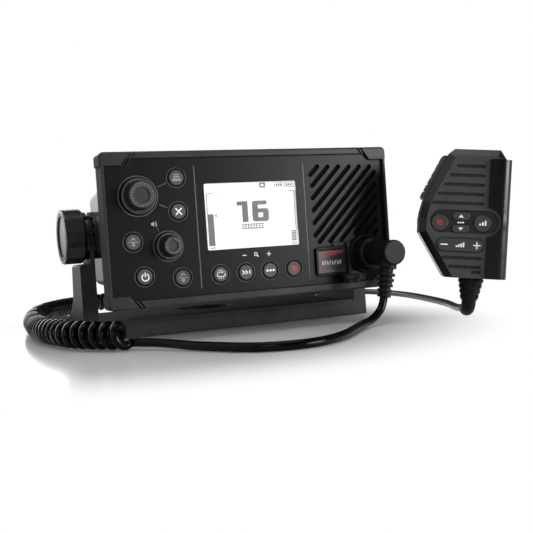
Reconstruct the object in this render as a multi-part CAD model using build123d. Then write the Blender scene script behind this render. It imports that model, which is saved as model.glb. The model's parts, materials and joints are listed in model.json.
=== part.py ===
from build123d import *
import os
from math import cos, pi, radians, sin, tan

# Fixed-mount marine radio in a tilting bracket, with a fist microphone on a curly cord.
# Millimetres. X runs to the right, Y to the rear and Z up.
# The origin is on the underside of the bracket's base, straight below the tilt axis.

# ---- overall sizes ----
fascia_width = 190.6
fascia_height = 92.0
drawn_height = 92.0             # fascia height for which the heights of keys and openings are given
fascia_depth = 14.0
fascia_bottom = 21.0            # height of the fascia's lower edge above the base's underside
fascia_reach = 60.0             # from the tilt axis forward to the fascia's front plane
pivot_height = 67.0

# ---- fits ----
fit_gap = 0.15                  # between parts of one body that drop into each other
run_gap = 0.05                  # radial clearance of a shaft in its hole
face_gap = 0.2                  # between faces that slide past each other

# ---- fascia frame ----
corner_radius = 3.0
frame_wall = 2.4
frame_lip = 2.0                 # thickness of the frame's front, and so the panel's recess
side_strip = 2.4
top_bar = 4.0
bottom_bar = 4.8
corner_block_height = 8.0
corner_block_length = 18.3      # along the outer edge
corner_block_slant = 5.8        # how much shorter the block is at its inner edge
corner_groove_width = 1.3       # of each of the two grooves beside a block
corner_groove_land = 1.2
corner_groove_depth = 1.2
side_inset = 0.8                # of the frame's sides between the corner blocks
frame_chamfer = 1.0

# ---- fascia panel ----
panel_thickness = 3.0
divider_places = (-37.9, 35.0)
divider_low = 9.0
divider_high = 82.7
divider_width = 0.6
divider_depth = 0.4

# ---- display ----
window_x = -1.5
window_height = 51.7            # centre above the fascia's lower edge
window_size_x = 61.6
window_size_z = 40.8
window_radius = 1.2
window_step = 0.3               # the lens lies this far below the panel
module_margin = 2.4
lens_thickness = 2.5

# ---- keys: centre as X and height above the fascia's lower edge ----
key_places = {
    "key_menu": (-49.4, 76.0),
    "key_close": (-49.4, 55.9),
    "key_source": (-78.2, 39.3),
    "key_power": (-72.7, 18.6),
    "key_mark": (-49.4, 16.4),
    "key_weather": (-25.3, 16.6),
    "key_scan": (-8.6, 16.6),
    "key_watch": (7.6, 16.6),
    "key_channel_16": (24.1, 16.6),
}
key_diameter = 9.2
key_play = 0.2                  # radial, between a key and its hole
key_stand = 0.9                 # how far a key stands out of the panel
key_flange = 1.2
key_flange_thickness = 0.8
key_travel = 0.8
key_ring_diameter = 11.8
key_ring_depth = 0.5
key_chamfer = 0.5

# ---- turning knobs: X and height as for the keys ----
channel_x = -73.4
channel_height = 65.9
channel_ring = 24.4
channel_skirt = 20.6
channel_grip = 17.6
channel_cap = 15.2
volume_x = -57.0
volume_height = 35.7
volume_ring = 18.8
volume_skirt = 15.6
volume_grip = 13.2
volume_cap = 10.4
knob_reach = 10.4               # from the panel's face to the cap
knob_lift = 1.0                 # between the skirt and the panel
knob_skirt_thickness = 2.2
knob_flutes = 18
knob_flute_radius = 0.7
knob_cap_chamfer = 0.8
knob_dimple_share = 0.56
knob_dimple_depth = 0.7
knob_ring_width = 0.8
knob_ring_depth = 0.4
knob_push = 0.8
shaft_diameter = 6.0
shaft_end_wall = 2.4            # knob material in front of the shaft
bushing_diameter = 9.0
encoder_size = 12.0
encoder_depth = 5.6

# ---- distress key under its flap ----
distress_x = 51.0
distress_height = 19.4
distress_size_x = 22.4
distress_size_z = 17.6
distress_rim = 1.2
distress_rim_radius = 1.6
distress_rim_stand = 1.8
distress_well = 1.4
flap_thickness = 1.2
flap_skirt = 0.8
flap_gap = 0.15
flap_pin = 1.0                  # diameter of the flap's hinge pins
flap_pin_reach = 0.7
flap_knuckle = 1.8
flap_axis_back = 1.2            # hinge axis behind the rim's front face
distress_key_x = 12.0
distress_key_z = 8.0
distress_key_stand = 0.7
distress_travel = 1.2

# ---- speaker ----
slot_width = 2.9
slot_ends = (
    ((39.9, 75.3), (45.2, 80.3)),
    ((40.7, 68.3), (52.6, 80.0)),
    ((40.6, 60.4), (60.4, 80.0)),
    ((40.7, 52.6), (68.2, 79.8)),
    ((40.8, 44.6), (75.8, 79.6)),
    ((40.8, 36.6), (83.4, 79.4)),
    ((43.6, 32.2), (86.8, 75.5)),
    ((51.2, 32.2), (86.8, 67.8)),
    ((59.4, 32.6), (86.8, 60.0)),
    ((70.3, 36.4), (86.6, 52.5)),
    ((78.4, 37.0), (86.4, 44.9)),
    ((84.3, 35.4), (86.4, 37.4)),
)
speaker_x = 63.5
speaker_height = 56.0
speaker_radius = 23.5
speaker_cone_depth = 7.5
speaker_magnet_radius = 12.0
speaker_depth = 19.0

# ---- microphone socket and plug ----
socket_x = 75.8
socket_height = 22.7
socket_flange = 24.2
socket_flange_thickness = 2.5
socket_dish = 1.2
socket_spigot = 15.0
socket_spigot_length = 8.0
socket_barrel = 17.0
ring_diameter = 20.4
ring_length = 11.0
plug_neck = 14.4
plug_neck_length = 9.0
plug_head = 15.6
plug_head_length = 15.0
plug_groove_width = 0.9
plug_groove_depth = 1.0
boot_top = 11.6
boot_end = 8.2
boot_core_step = 1.7            # how far the core lies below the ribs
boot_ribs = 5
boot_rib_thickness = 1.5
boot_lean_x = -6.0              # from the head's axis to the boot's end
boot_lean_y = -0.8
boot_length = 21.4

# ---- rubber cap of the microphone socket ----
cap_ring_thickness = 1.0        # held between the panel and the socket's flange
cap_ring_inset = 0.3            # behind the flange's edge
cap_lobe_left = 9.0             # of the lobe's end from the strap
cap_lobe_right = 7.8            # of its other end, under the flange, from the socket's axis
cap_lobe_height = 2.6
cap_lobe_radius = 1.2
cap_strap_width = 2.0
cap_strap_thickness = 1.4
cap_drop = 12.7                 # of the cap's rim below the socket's axis
cap_shift = 1.5                 # of the cap to the left of the strap
cap_flange = 12.0
cap_flange_thickness = 2.4
cap_plug_diameter = 8.4
cap_plug_length = 2.8

# ---- housing behind the fascia ----
gasket_thickness = 1.0
flange_thickness = 3.0
flange_margin = 2.6
housing_side_draft = 3.5        # how much narrower each side is at the rear
housing_magnet_room = 1.5       # between the speaker's magnet and the housing's wall
housing_top = 108.0
housing_rear_top = 97.0
housing_floor = 30.0
housing_rear_floor = 33.0
housing_length = 102.0
housing_wall = 3.0
housing_edge = 5.0
fin_count = 13
fin_thickness = 2.2
fin_depth = 7.0
fin_side_margin = 8.0
boss_diameter = 30.0
screw_head = 5.6
screw_head_height = 2.4
screw_length = 9.0
screw_diameter = 3.0
screw_boss = 7.0
screw_height = 8.0              # of the screws above and below the fascia's edges
standoff_diameter = 6.0
standoff_height = 5.0
board_thickness = 1.6
main_board_side_room = 6.5      # between the board and the outside of the housing
main_board_end_room = 13.0
shield_share_x = 0.5            # of the main board's size
shield_share_y = 0.6
shield_height = 9.0
shield_shift_x = 20.0
shield_shift_y = 8.0
standoff_inset = 6.0

# ---- rear connectors: X and height above the base's underside ----
antenna_x = 46.0
antenna_z = 76.0
antenna_diameter = 15.8
antenna_length = 16.0
antenna_flange = 25.0
gps_x = 12.0
gps_z = 76.0
gps_diameter = 11.0
gps_length = 11.0
data_x = -20.0
data_z = 76.0
data_diameter = 13.0
data_length = 14.0
gland_x = -52.0
gland_z = 62.0
gland_diameter = 15.0
gland_length = 14.0
gland_bore = 8.0

# ---- bracket ----
arm_thickness = 9.6
base_front = -12.0
base_rear = 92.0
base_height = 11.0
base_lip = 1.6
base_lip_reach = 0.8
boss_stand = 8.4                # of the housing's tilt bosses beyond its sides
ear_thickness = 2.4
arm_shoulder = 49.0             # height at which the arm narrows to the ear
arm_rear = 14.0
arm_foot_rear = 58.0
ear_radius = 12.5
arm_top_chamfer = 1.5
cable_hole_y = 52.0
cable_hole_radius = 20.0
front_slot_x = 59.0
front_slot_y = 13.0
rear_slot_x = 84.0
rear_slot_y = 46.0
slot_hole_width = 5.2
slot_hole_length = 15.0
pocket_depth = 6.0
pocket_wall = 4.0

# ---- clamp knobs ----
washer_diameter = 30.0
washer_thickness = 2.6
washer_teeth = 16
washer_tooth_depth = 0.8
stud_diameter = 8.0
stud_sink = 0.5                 # of the stud's end below the housing's side
clamp_hub_diameter = 30.0
clamp_hub_length = 1.6
clamp_hub_notches = 8
clamp_diameter = 35.0
clamp_length = 13.4
clamp_facets = 6
clamp_ribs = 9                  # fine ribs in each gripping zone
clamp_rib_step = 3.6            # degrees from one rib to the next
clamp_rib_depth = 0.5
clamp_flat_depth = 0.6
clamp_tip = 8.0                 # degrees by which the zone in front looks down
clamp_rim_groove = 1.0
clamp_dish = 1.0

# ---- hand microphone, in its own frame: u to its right, v up its length, w out of its front ----
mic_foot_x = 119.9
mic_foot_y = -105.1
mic_turn = 30.0                 # turned to the left, seen from above
mic_lean = 6.4                  # leans to its right
mic_front = 13.0
mic_back = 15.0
mic_wall = 2.2
mic_edge = 2.4
mic_bevel = 4.2                 # around the front, but not beside the spine or at the bottom
mic_inner_bevel = 2.1
mic_outline = (
    (-17.0, 24.8), (17.2, 24.8), (17.2, 98.0), (13.4, 103.6), (-14.0, 103.6),
    (-17.2, 101.0), (-31.4, 71.5), (-33.0, 64.5), (-33.6, 60.0), (-33.4, 51.5),
)
grille_slots = (
    (-12.3, 3.4, 92.9), (-15.9, 3.4, 87.3), (-19.4, 3.4, 81.6), (-22.6, 3.4, 75.9), (-26.0, 3.4, 70.2),
)
vent_slots = ((-18.4, 3.6, 37.0), (-14.4, 3.6, 31.6), (-0.4, 3.6, 28.6))
mic_slot_width = 1.9
mic_recess = (-27.4, 14.0, 52.2, 66.2)
mic_recess_depth = 0.8
mic_key_stand = 1.0
mic_key_play = 0.2
mic_key_travel = 0.8
mic_key_chamfer = 0.4
mic_round_keys = {"mic_key_16": (-21.4, 58.2, 10.2), "mic_key_level": (4.2, 58.5, 10.4)}
mic_bar_keys = {"mic_key_up": (-8.8, 62.5), "mic_key_down": (-8.8, 54.7)}
mic_bar_key_x = 10.6
mic_bar_key_v = 5.0
rocker_u = -8.7
rocker_v = 44.9
rocker_length = 28.0
rocker_width = 8.0
rocker_play = 0.35
rocker_pivot = 1.6              # of the tilt rib's axis below the microphone's front
rocker_rib = 2.4                # diameter of the rib on which the rocker tips
rocker_rib_length = 6.0
spine_start = 7.4
spine_thickness = 3.2
spine_sink = 1.0                # of its front part below the front shell's face
spine_stand = 1.6
spine_high = 97.6
spine_back = 8.0
spine_radius = 6.5
ptt_low = 70.5
ptt_high = 99.0
ptt_stand = 2.8
ptt_grooves = 5
ptt_groove_width = 1.4
ptt_groove_depth = 1.0
ptt_width = 15.0
ptt_travel = 1.6
stud_head = 11.0
stud_neck = 6.4
stud_reach = 7.0
stud_v = 86.0
mic_boot_top = 15.0
mic_boot_waist = 9.6
mic_boot_arm = 10.6             # height at which the boot bends towards the cord
mic_boot_bend = 5.8

# ---- cords ----
cord_diameter = 5.0
coil_diameter = 17.0
route_share = 0.45              # share of the shorter run that an arc uses
front_route = (
    (69.8, -88.8, 16.5), (68.59, -88.96, 11.03), (62.8, -91.5, 6.3), (55.8, -95.5, 3.5), (48.0, -101.4, 3.0),
    (37.5, -112.0, 2.5),
    (26.0, -125.5, 2.5), (13.5, -139.6, 2.5), (0.6, -150.5, 2.5), (-11.7, -156.9, 2.5), (-25.6, -157.5, 2.5),
    (-38.4, -152.2, 2.5), (-47.7, -142.0, 2.5), (-55.6, -127.5, 2.5), (-63.5, -111.5, 2.5),
    (-70.8, -97.0, 3.2), (-78.5, -86.2, 3.9), (-86.57, -76.01, 3.9),
)
coil_route = (
    (-89.6, -78.4, 8.5), (-108.8, -54.1, 8.5), (-119.5, -12.0, 8.5), (-121.0, 45.0, 8.5),
    (-114.0, 113.0, 8.5), (-98.0, 186.0, 8.5), (-72.0, 248.0, 8.5), (-32.0, 290.0, 8.5),
    (20.0, 302.3, 8.5), (70.0, 285.0, 8.5),
)
rear_route = (
    (122.82, -100.13, 4.825), (126.62, -92.01, 4.825), (132.3, -80.5, 3.6), (143.0, -60.5, 2.5),
    (158.5, -31.0, 2.5), (179.0, 25.0, 2.5), (198.0, 86.0, 2.5), (207.0, 145.0, 2.5),
    (201.0, 198.0, 2.5), (172.0, 240.0, 2.5), (125.0, 266.0, 2.5), (70.0, 285.0, 2.5),
)

# ---- planes of the stack behind the fascia's front ----
front_y = -fascia_reach
panel_y = front_y + frame_lip
panel_back = panel_y + panel_thickness
mat_y = panel_back + key_flange_thickness + key_travel + face_gap
board_y = panel_back + encoder_depth + face_gap
frame_back = front_y + fascia_depth
flange_y = frame_back + gasket_thickness
housing_y = flange_y + flange_thickness
housing_back = housing_y + housing_length

# ---- widths that follow from each other ----
housing_half_width = speaker_x + speaker_magnet_radius + housing_magnet_room + housing_wall
housing_rear_half_width = housing_half_width - housing_side_draft
main_board_x = 2 * (housing_rear_half_width - main_board_side_room)
main_board_y = housing_length - 2 * main_board_end_room
boss_face = housing_half_width + boss_stand
arm_inner = boss_face + washer_thickness + 2 * face_gap
base_half_width = arm_inner + arm_thickness
stud_inner_end = housing_half_width - stud_sink
clamp_face = arm_inner + ear_thickness + face_gap


def fascia_z(height):
    # Height above the fascia's lower edge, as a height above the base's underside.
    return fascia_bottom + height


def place_z(height):
    # The same for keys and openings, which keep their share of the fascia's height.
    return fascia_bottom + height * fascia_height / drawn_height


def front_plane(y):
    # Upright plane facing forward; sketches on it are drawn as X and Z.
    return Plane(origin=(0, y, 0), x_dir=(1, 0, 0), z_dir=(0, -1, 0))


def slab(outline, y, thickness):
    # Extrudes an upright outline from its front face towards the rear.
    return extrude(front_plane(y) * outline, amount=-thickness)


def disc(x, z, diameter, y, thickness):
    return slab(Pos(x, z) * Circle(diameter / 2), y, thickness)


def block(x, z, size_x, size_z, y, thickness, radius=0.0):
    if radius > 0:
        return slab(Pos(x, z) * RectangleRounded(size_x, size_z, radius), y, thickness)
    return slab(Pos(x, z) * Rectangle(size_x, size_z), y, thickness)


def side_disc(side, diameter, start, length):
    # Cylinder about the tilt axis, from start outwards, on the left (-1) or right (+1) side.
    plane = Plane(origin=(side * start, 0, pivot_height), x_dir=(0, 1, 0), z_dir=(side, 0, 0))
    return extrude(plane * Circle(diameter / 2), amount=length)


def round_slot(start, end, width):
    # Slot outline with round ends about its two end points.
    run = (Vector(*end) - Vector(*start))
    middle = (Vector(*end) + Vector(*start)) * 0.5
    angle = Vector(1, 0, 0).get_signed_angle(Vector(run.X, run.Y, 0), Vector(0, 0, 1))
    return Pos(middle.X, middle.Y) * Rot(0, 0, angle) * SlotOverall(run.length + width, width)


# ---------------------------------------------------------------- fascia
def make_bezel_frame():
    centre = Pos(0, fascia_z(fascia_height / 2))
    body = slab(centre * RectangleRounded(fascia_width, fascia_height, corner_radius), front_y, fascia_depth)
    body = chamfer(body.faces().sort_by(Axis.Y)[0].edges(), frame_chamfer)
    cavity_x = fascia_width - 2 * frame_wall
    cavity_z = fascia_height - 2 * frame_wall
    cavity = slab(centre * RectangleRounded(cavity_x, cavity_z, corner_radius / 2), panel_y, fascia_depth)
    half = fascia_width / 2
    block_x = half - corner_block_length + corner_block_slant
    bar_x = half - corner_block_length
    slope = corner_block_slant / corner_block_height
    low = fascia_z(bottom_bar)
    high = fascia_z(fascia_height - top_bar)
    block_low = fascia_z(corner_block_height)
    block_high = fascia_z(fascia_height - corner_block_height)
    low_x = bar_x + bottom_bar * slope
    high_x = bar_x + top_bar * slope
    window = Polygon(
        (half - side_strip, block_low), (half - side_strip, block_high), (block_x, block_high), (high_x, high),
        (-high_x, high), (-block_x, block_high), (-half + side_strip, block_high), (-half + side_strip, block_low),
        (-block_x, block_low), (-low_x, low), (low_x, low), (block_x, block_low), align=None)
    body = body - cavity - slab(window, front_y, fascia_depth)
    for side in (-1, 1):
        for outer, inner in ((0.0, corner_block_height), (fascia_height, fascia_height - corner_block_height)):
            for start in (0.0, corner_groove_width + corner_groove_land):
                end = start + corner_groove_width
                groove = Polygon(
                    (side * (bar_x - start), fascia_z(outer)), (side * (bar_x - end), fascia_z(outer)),
                    (side * (block_x - end), fascia_z(inner)), (side * (block_x - start), fascia_z(inner)),
                    align=None)
                body -= slab(groove, front_y, corner_groove_depth)
        body -= block(side * (half - side_inset / 2), (block_low + block_high) / 2, side_inset,
                      block_high - block_low, front_y, fascia_depth)
    for x, z in housing_screw_places():
        body += disc(x, z, screw_boss, panel_back + face_gap, flange_y - panel_back - face_gap)
        body -= disc(x, z, screw_diameter, panel_back + face_gap + 1.0, flange_y - panel_back)
    return body


def make_fascia_panel():
    size_x = fascia_width - 2 * frame_wall - 2 * fit_gap
    size_z = fascia_height - 2 * frame_wall - 2 * fit_gap
    centre_z = fascia_z(fascia_height / 2)
    panel = block(0, centre_z, size_x, size_z, panel_y, panel_thickness, corner_radius / 2)
    for x, height in key_places.values():
        panel -= disc(x, place_z(height), key_diameter + 2 * key_play, panel_y, panel_thickness)
        panel -= disc(x, place_z(height), key_ring_diameter, panel_y, key_ring_depth)
    for x, height, ring in ((channel_x, channel_height, channel_ring), (volume_x, volume_height, volume_ring)):
        panel -= disc(x, place_z(height), bushing_diameter + 2 * fit_gap, panel_y, panel_thickness)
        groove = Circle(ring / 2) - Circle(ring / 2 - knob_ring_width)
        panel -= slab(Pos(x, place_z(height)) * groove, panel_y, knob_ring_depth)
    panel -= block(window_x, place_z(window_height), window_size_x, window_size_z, panel_y, panel_thickness,
                   window_radius)
    low = place_z(divider_low)
    high = place_z(divider_high)
    for x in divider_places:
        panel -= block(x, (low + high) / 2, divider_width, high - low, panel_y, divider_depth)
    slots = [round_slot((a[0], place_z(a[1])), (b[0], place_z(b[1])), slot_width) for a, b in slot_ends]
    panel -= [slab(slot, panel_y, panel_thickness) for slot in slots]
    panel -= disc(socket_x, place_z(socket_height), socket_barrel + 2 * fit_gap, panel_y, panel_thickness)
    rim = block(distress_x, place_z(distress_height), distress_size_x, distress_size_z,
                panel_y - distress_rim_stand, distress_rim_stand, distress_rim_radius)
    well = block(distress_x, place_z(distress_height), distress_size_x - 2 * distress_rim,
                 distress_size_z - 2 * distress_rim, panel_y - distress_rim_stand,
                 distress_rim_stand + distress_well)
    key_hole = block(distress_x, place_z(distress_height), distress_key_x + 2 * key_play,
                     distress_key_z + 2 * key_play, panel_y, panel_thickness)
    panel = panel + rim - well - key_hole
    pin_length = distress_size_x - 2 * distress_rim + 2 * flap_pin_reach + 2 * fit_gap
    panel -= flap_rod(flap_pin + 2 * run_gap, pin_length)
    return panel


def make_lcd_lens():
    return block(window_x, place_z(window_height), window_size_x - 2 * fit_gap, window_size_z - 2 * fit_gap,
                 panel_y + window_step, lens_thickness, window_radius)


def make_lcd_module():
    body = block(window_x, place_z(window_height), window_size_x + 2 * module_margin,
                 window_size_z + 2 * module_margin, panel_back + fit_gap, board_y - panel_back - fit_gap)
    return body


def encoder_places():
    return ((channel_x, channel_height), (volume_x, volume_height))


def make_keypad_mat():
    left = -fascia_width / 2 + frame_wall + 2.0
    right = divider_places[1] - 1.0
    low = fascia_z(frame_wall + 2.0)
    high = fascia_z(fascia_height - frame_wall - 2.0)
    outline = Pos((left + right) / 2, (low + high) / 2) * Rectangle(right - left, high - low)
    mat = slab(outline, mat_y, board_y - mat_y)
    mat -= block(window_x, place_z(window_height), window_size_x + 2 * module_margin + 1.0,
                 window_size_z + 2 * module_margin + 1.0, mat_y, board_y - mat_y)
    for x, height in encoder_places():
        mat -= block(x, place_z(height), encoder_size + 1.0, encoder_size + 1.0, mat_y, board_y - mat_y)
    return mat - screw_clearance(mat_y, board_y - mat_y)


def screw_clearance(y, thickness):
    places = housing_screw_places()
    return [disc(x, z, screw_boss + 1.0, y, thickness) for x, z in places]


def make_front_board():
    left = -fascia_width / 2 + frame_wall + 1.0
    right = divider_places[1]
    low = fascia_z(frame_wall + 1.0)
    high = fascia_z(fascia_height - frame_wall - 1.0)
    outline = Pos((left + right) / 2, (low + high) / 2) * Rectangle(right - left, high - low)
    return slab(outline, board_y, board_thickness) - screw_clearance(board_y, board_thickness)


def make_key(name):
    x, height = key_places[name]
    z = place_z(height)
    cap_y = panel_y - key_stand
    cap = disc(x, z, key_diameter, cap_y, panel_back - cap_y)
    cap = chamfer(cap.faces().sort_by(Axis.Y)[0].edges(), key_chamfer)
    flange = disc(x, z, key_diameter + 2 * key_flange, panel_back, key_flange_thickness)
    return cap + flange


def make_encoder(x, height):
    z = place_z(height)
    body = block(x, z, encoder_size, encoder_size, panel_back + face_gap, encoder_depth)
    body += disc(x, z, bushing_diameter, panel_y + fit_gap, panel_back + face_gap - panel_y - fit_gap)
    bore = disc(x, z, shaft_diameter + 2 * run_gap, panel_y, panel_thickness + encoder_depth - 1.0)
    return body - bore


def shaft_tip_y():
    return panel_y - knob_reach + shaft_end_wall


def make_shaft(x, height):
    tip = shaft_tip_y()
    end = panel_y + panel_thickness + encoder_depth - 1.0 - knob_push - face_gap
    shaft = disc(x, place_z(height), shaft_diameter, tip, end - tip)
    return chamfer(shaft.faces().sort_by(Axis.Y)[0].edges(), 0.4)


def make_turning_knob(x, height, skirt, grip, cap, pointer):
    z = place_z(height)
    base_y = panel_y - knob_lift
    skirt_y = base_y - knob_skirt_thickness
    cap_y = panel_y - knob_reach
    lower = disc(x, z, skirt, skirt_y, knob_skirt_thickness)
    lower = chamfer(lower.faces().sort_by(Axis.Y)[0].edges(), knob_skirt_thickness / 3)
    wide = front_plane(skirt_y) * Pos(x, z) * Circle(grip / 2)
    narrow = front_plane(cap_y) * Pos(x, z) * Circle(cap / 2)
    upper = loft([wide.face(), narrow.face()])
    upper = chamfer(upper.faces().sort_by(Axis.Y)[0].edges(), knob_cap_chamfer)
    for index in range(knob_flutes):
        angle = 2 * pi * (index + 0.5) / knob_flutes
        flute_x = x + cos(angle) * grip / 2
        flute_z = z + sin(angle) * grip / 2
        upper -= disc(flute_x, flute_z, 2 * knob_flute_radius, cap_y, skirt_y - cap_y)
    knob = lower + upper
    knob -= disc(x, z, cap * knob_dimple_share, cap_y, knob_dimple_depth)
    if pointer:
        knob += block(x, z + cap / 2 - 1.0, 1.4, 1.6, cap_y - 0.5, 1.2)
    bore = disc(x, z, shaft_diameter + 2 * run_gap, shaft_tip_y() - fit_gap, base_y - shaft_tip_y() + fit_gap)
    return knob - bore


# ---------------------------------------------------------------- distress key
def flap_axis():
    top = place_z(distress_height) + distress_size_z / 2 - distress_rim
    return panel_y - distress_rim_stand + flap_axis_back, top - flap_gap - flap_knuckle / 2


def flap_rod(diameter, length):
    y, z = flap_axis()
    plane = Plane(origin=(distress_x - length / 2, y, z), x_dir=(0, 1, 0), z_dir=(1, 0, 0))
    return extrude(plane * Circle(diameter / 2), amount=length)


def make_distress_flap():
    axis_y, axis_z = flap_axis()
    inner_x = distress_size_x - 2 * distress_rim
    width = inner_x - 2 * flap_gap
    bottom = place_z(distress_height) - distress_size_z / 2 + distress_rim + flap_gap
    plate_y = axis_y - flap_knuckle / 2
    centre_z = (bottom + axis_z) / 2
    flap = block(distress_x, centre_z, width, axis_z - bottom, plate_y, flap_thickness)
    skirt_depth = distress_rim_stand + distress_well - (plate_y - panel_y + distress_rim_stand) - fit_gap
    skirt_top = axis_z - flap_knuckle / 2 - 2.0
    skirt_z = (bottom + skirt_top) / 2
    skirt = block(distress_x, skirt_z, width, skirt_top - bottom, plate_y, skirt_depth)
    hollow = block(distress_x, skirt_z + flap_skirt, width - 2 * flap_skirt, skirt_top - bottom,
                   plate_y + flap_thickness, skirt_depth)
    flap = flap + (skirt - hollow)
    flap += flap_rod(flap_knuckle, width)
    pins = flap_rod(flap_pin, inner_x + 2 * flap_pin_reach)
    return flap + pins


def make_distress_key():
    z = place_z(distress_height)
    face_y = panel_y + distress_well - distress_key_stand
    cap = block(distress_x, z, distress_key_x, distress_key_z, face_y, panel_back - face_y, 1.5)
    flange = block(distress_x, z, distress_key_x + 2 * key_flange, distress_key_z + 2 * key_flange, panel_back,
                   key_flange_thickness, 1.5)
    return cap + flange


# ---------------------------------------------------------------- speaker and socket
def make_speaker():
    z = place_z(speaker_height)
    rim = disc(speaker_x, z, 2 * speaker_radius, panel_back + fit_gap, 1.5)
    front = front_plane(panel_back + fit_gap + 1.5) * Pos(speaker_x, z) * Circle(speaker_radius - 2.0)
    back = front_plane(panel_back + speaker_cone_depth) * Pos(speaker_x, z) * Circle(speaker_magnet_radius)
    basket = loft([front.face(), back.face()])
    magnet = disc(speaker_x, z, 2 * speaker_magnet_radius, panel_back + speaker_cone_depth,
                  speaker_depth - speaker_cone_depth)
    cone_front = front_plane(panel_back + fit_gap) * Pos(speaker_x, z) * Circle(speaker_radius - 4.0)
    cone_back = front_plane(panel_back + speaker_cone_depth - 1.5) * Pos(speaker_x, z) * Circle(7.0)
    return rim + basket + magnet - loft([cone_front.face(), cone_back.face()])


def make_mic_socket():
    z = place_z(socket_height)
    flange_front = socket_face()
    flange = disc(socket_x, z, socket_flange, flange_front, socket_flange_thickness)
    flange = chamfer(flange.faces().sort_by(Axis.Y)[0].edges(), 0.8)
    dish = disc(socket_x, z, ring_diameter + 1.2, flange_front, socket_dish)
    barrel_y = flange_front + socket_flange_thickness
    barrel = disc(socket_x, z, socket_barrel, barrel_y, frame_back - 1.0 - barrel_y)
    spigot = disc(socket_x, z, socket_spigot, spigot_face(), socket_spigot_length)
    return flange - dish + barrel + spigot


def socket_face():
    return panel_y - cap_ring_thickness - socket_flange_thickness


def spigot_face():
    return socket_face() + socket_dish - socket_spigot_length


def plug_planes():
    ring_back = socket_face() + socket_dish - face_gap
    ring_front = ring_back - ring_length
    neck_front = ring_front - plug_neck_length
    head_front = neck_front - plug_head_length
    return ring_back, ring_front, neck_front, head_front


def make_plug_ring():
    ring_back, ring_front, _, _ = plug_planes()
    z = place_z(socket_height)
    ring = disc(socket_x, z, ring_diameter, ring_front, ring_length)
    ring = chamfer(ring.faces().sort_by(Axis.Y)[0].edges(), 1.4)
    for index in range(16):
        angle = 2 * pi * index / 16
        flute_x = socket_x + cos(angle) * (ring_diameter / 2 + 0.3)
        flute_z = z + sin(angle) * (ring_diameter / 2 + 0.3)
        ring -= disc(flute_x, flute_z, 1.6, ring_front + 3.0, ring_length - 5.0)
    bore = disc(socket_x, z, socket_spigot + 2 * run_gap, ring_front, ring_length)
    return ring - bore


def boot_axis():
    # The boot leaves the head downwards and to the left.
    _, _, neck_front, head_front = plug_planes()
    start = Vector(socket_x, (neck_front + head_front) / 2, place_z(socket_height))
    end = start + Vector(boot_lean_x, boot_lean_y, -boot_length - plug_head / 2 + 2.0)
    return start, end


def make_plug_head():
    z = place_z(socket_height)
    _, ring_front, neck_front, head_front = plug_planes()
    inner = disc(socket_x, z, socket_spigot - 1.0, ring_front, 1.0 + plug_insert_gap())
    neck = disc(socket_x, z, plug_neck, neck_front, plug_neck_length)
    for step in (2.0, 4.0, 6.0):
        groove = Circle(plug_neck / 2 + 1) - Circle(plug_neck / 2 - plug_groove_depth)
        neck -= slab(Pos(socket_x, z) * groove, neck_front + step, plug_groove_width)
    head = disc(socket_x, z, plug_head, head_front, plug_head_length)
    head = fillet(head.faces().sort_by(Axis.Y)[0].edges(), 1.0)
    start, end = boot_axis()
    direction = (end - start).normalized()
    stem_plane = Plane(origin=tuple(start), x_dir=(0, 1, 0), z_dir=tuple(direction))
    stem = extrude(stem_plane * Circle(boot_top / 2), amount=plug_head / 2 + 2.0)
    return inner + neck + head + stem


def plug_insert_gap():
    # The plug's nose reaches into the ring up to the spigot's face.
    _, ring_front, _, _ = plug_planes()
    return spigot_face() - ring_front - fit_gap - 1.0


def make_plug_boot():
    head, end = boot_axis()
    axis = end - head
    direction = axis.normalized()
    stem_end = plug_head / 2 + 2.0
    length = axis.length - stem_end
    plane = Plane(origin=tuple(head + direction * stem_end), x_dir=(0, 1, 0), z_dir=tuple(direction))
    tip = plane.offset(length)
    core_top = boot_top / 2 - boot_core_step
    core_end = (boot_end - boot_core_step) / 2
    boot = loft([(plane * Circle(core_top)).face(), (tip * Circle(core_end)).face()])
    pitch = (length - boot_rib_thickness) / boot_ribs
    for index in range(boot_ribs):
        start = pitch * (index + 1)
        radius = (boot_top + (boot_end - boot_top) * start / length) / 2
        boot += extrude(plane.offset(start) * Circle(radius), amount=boot_rib_thickness)
    return boot


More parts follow.
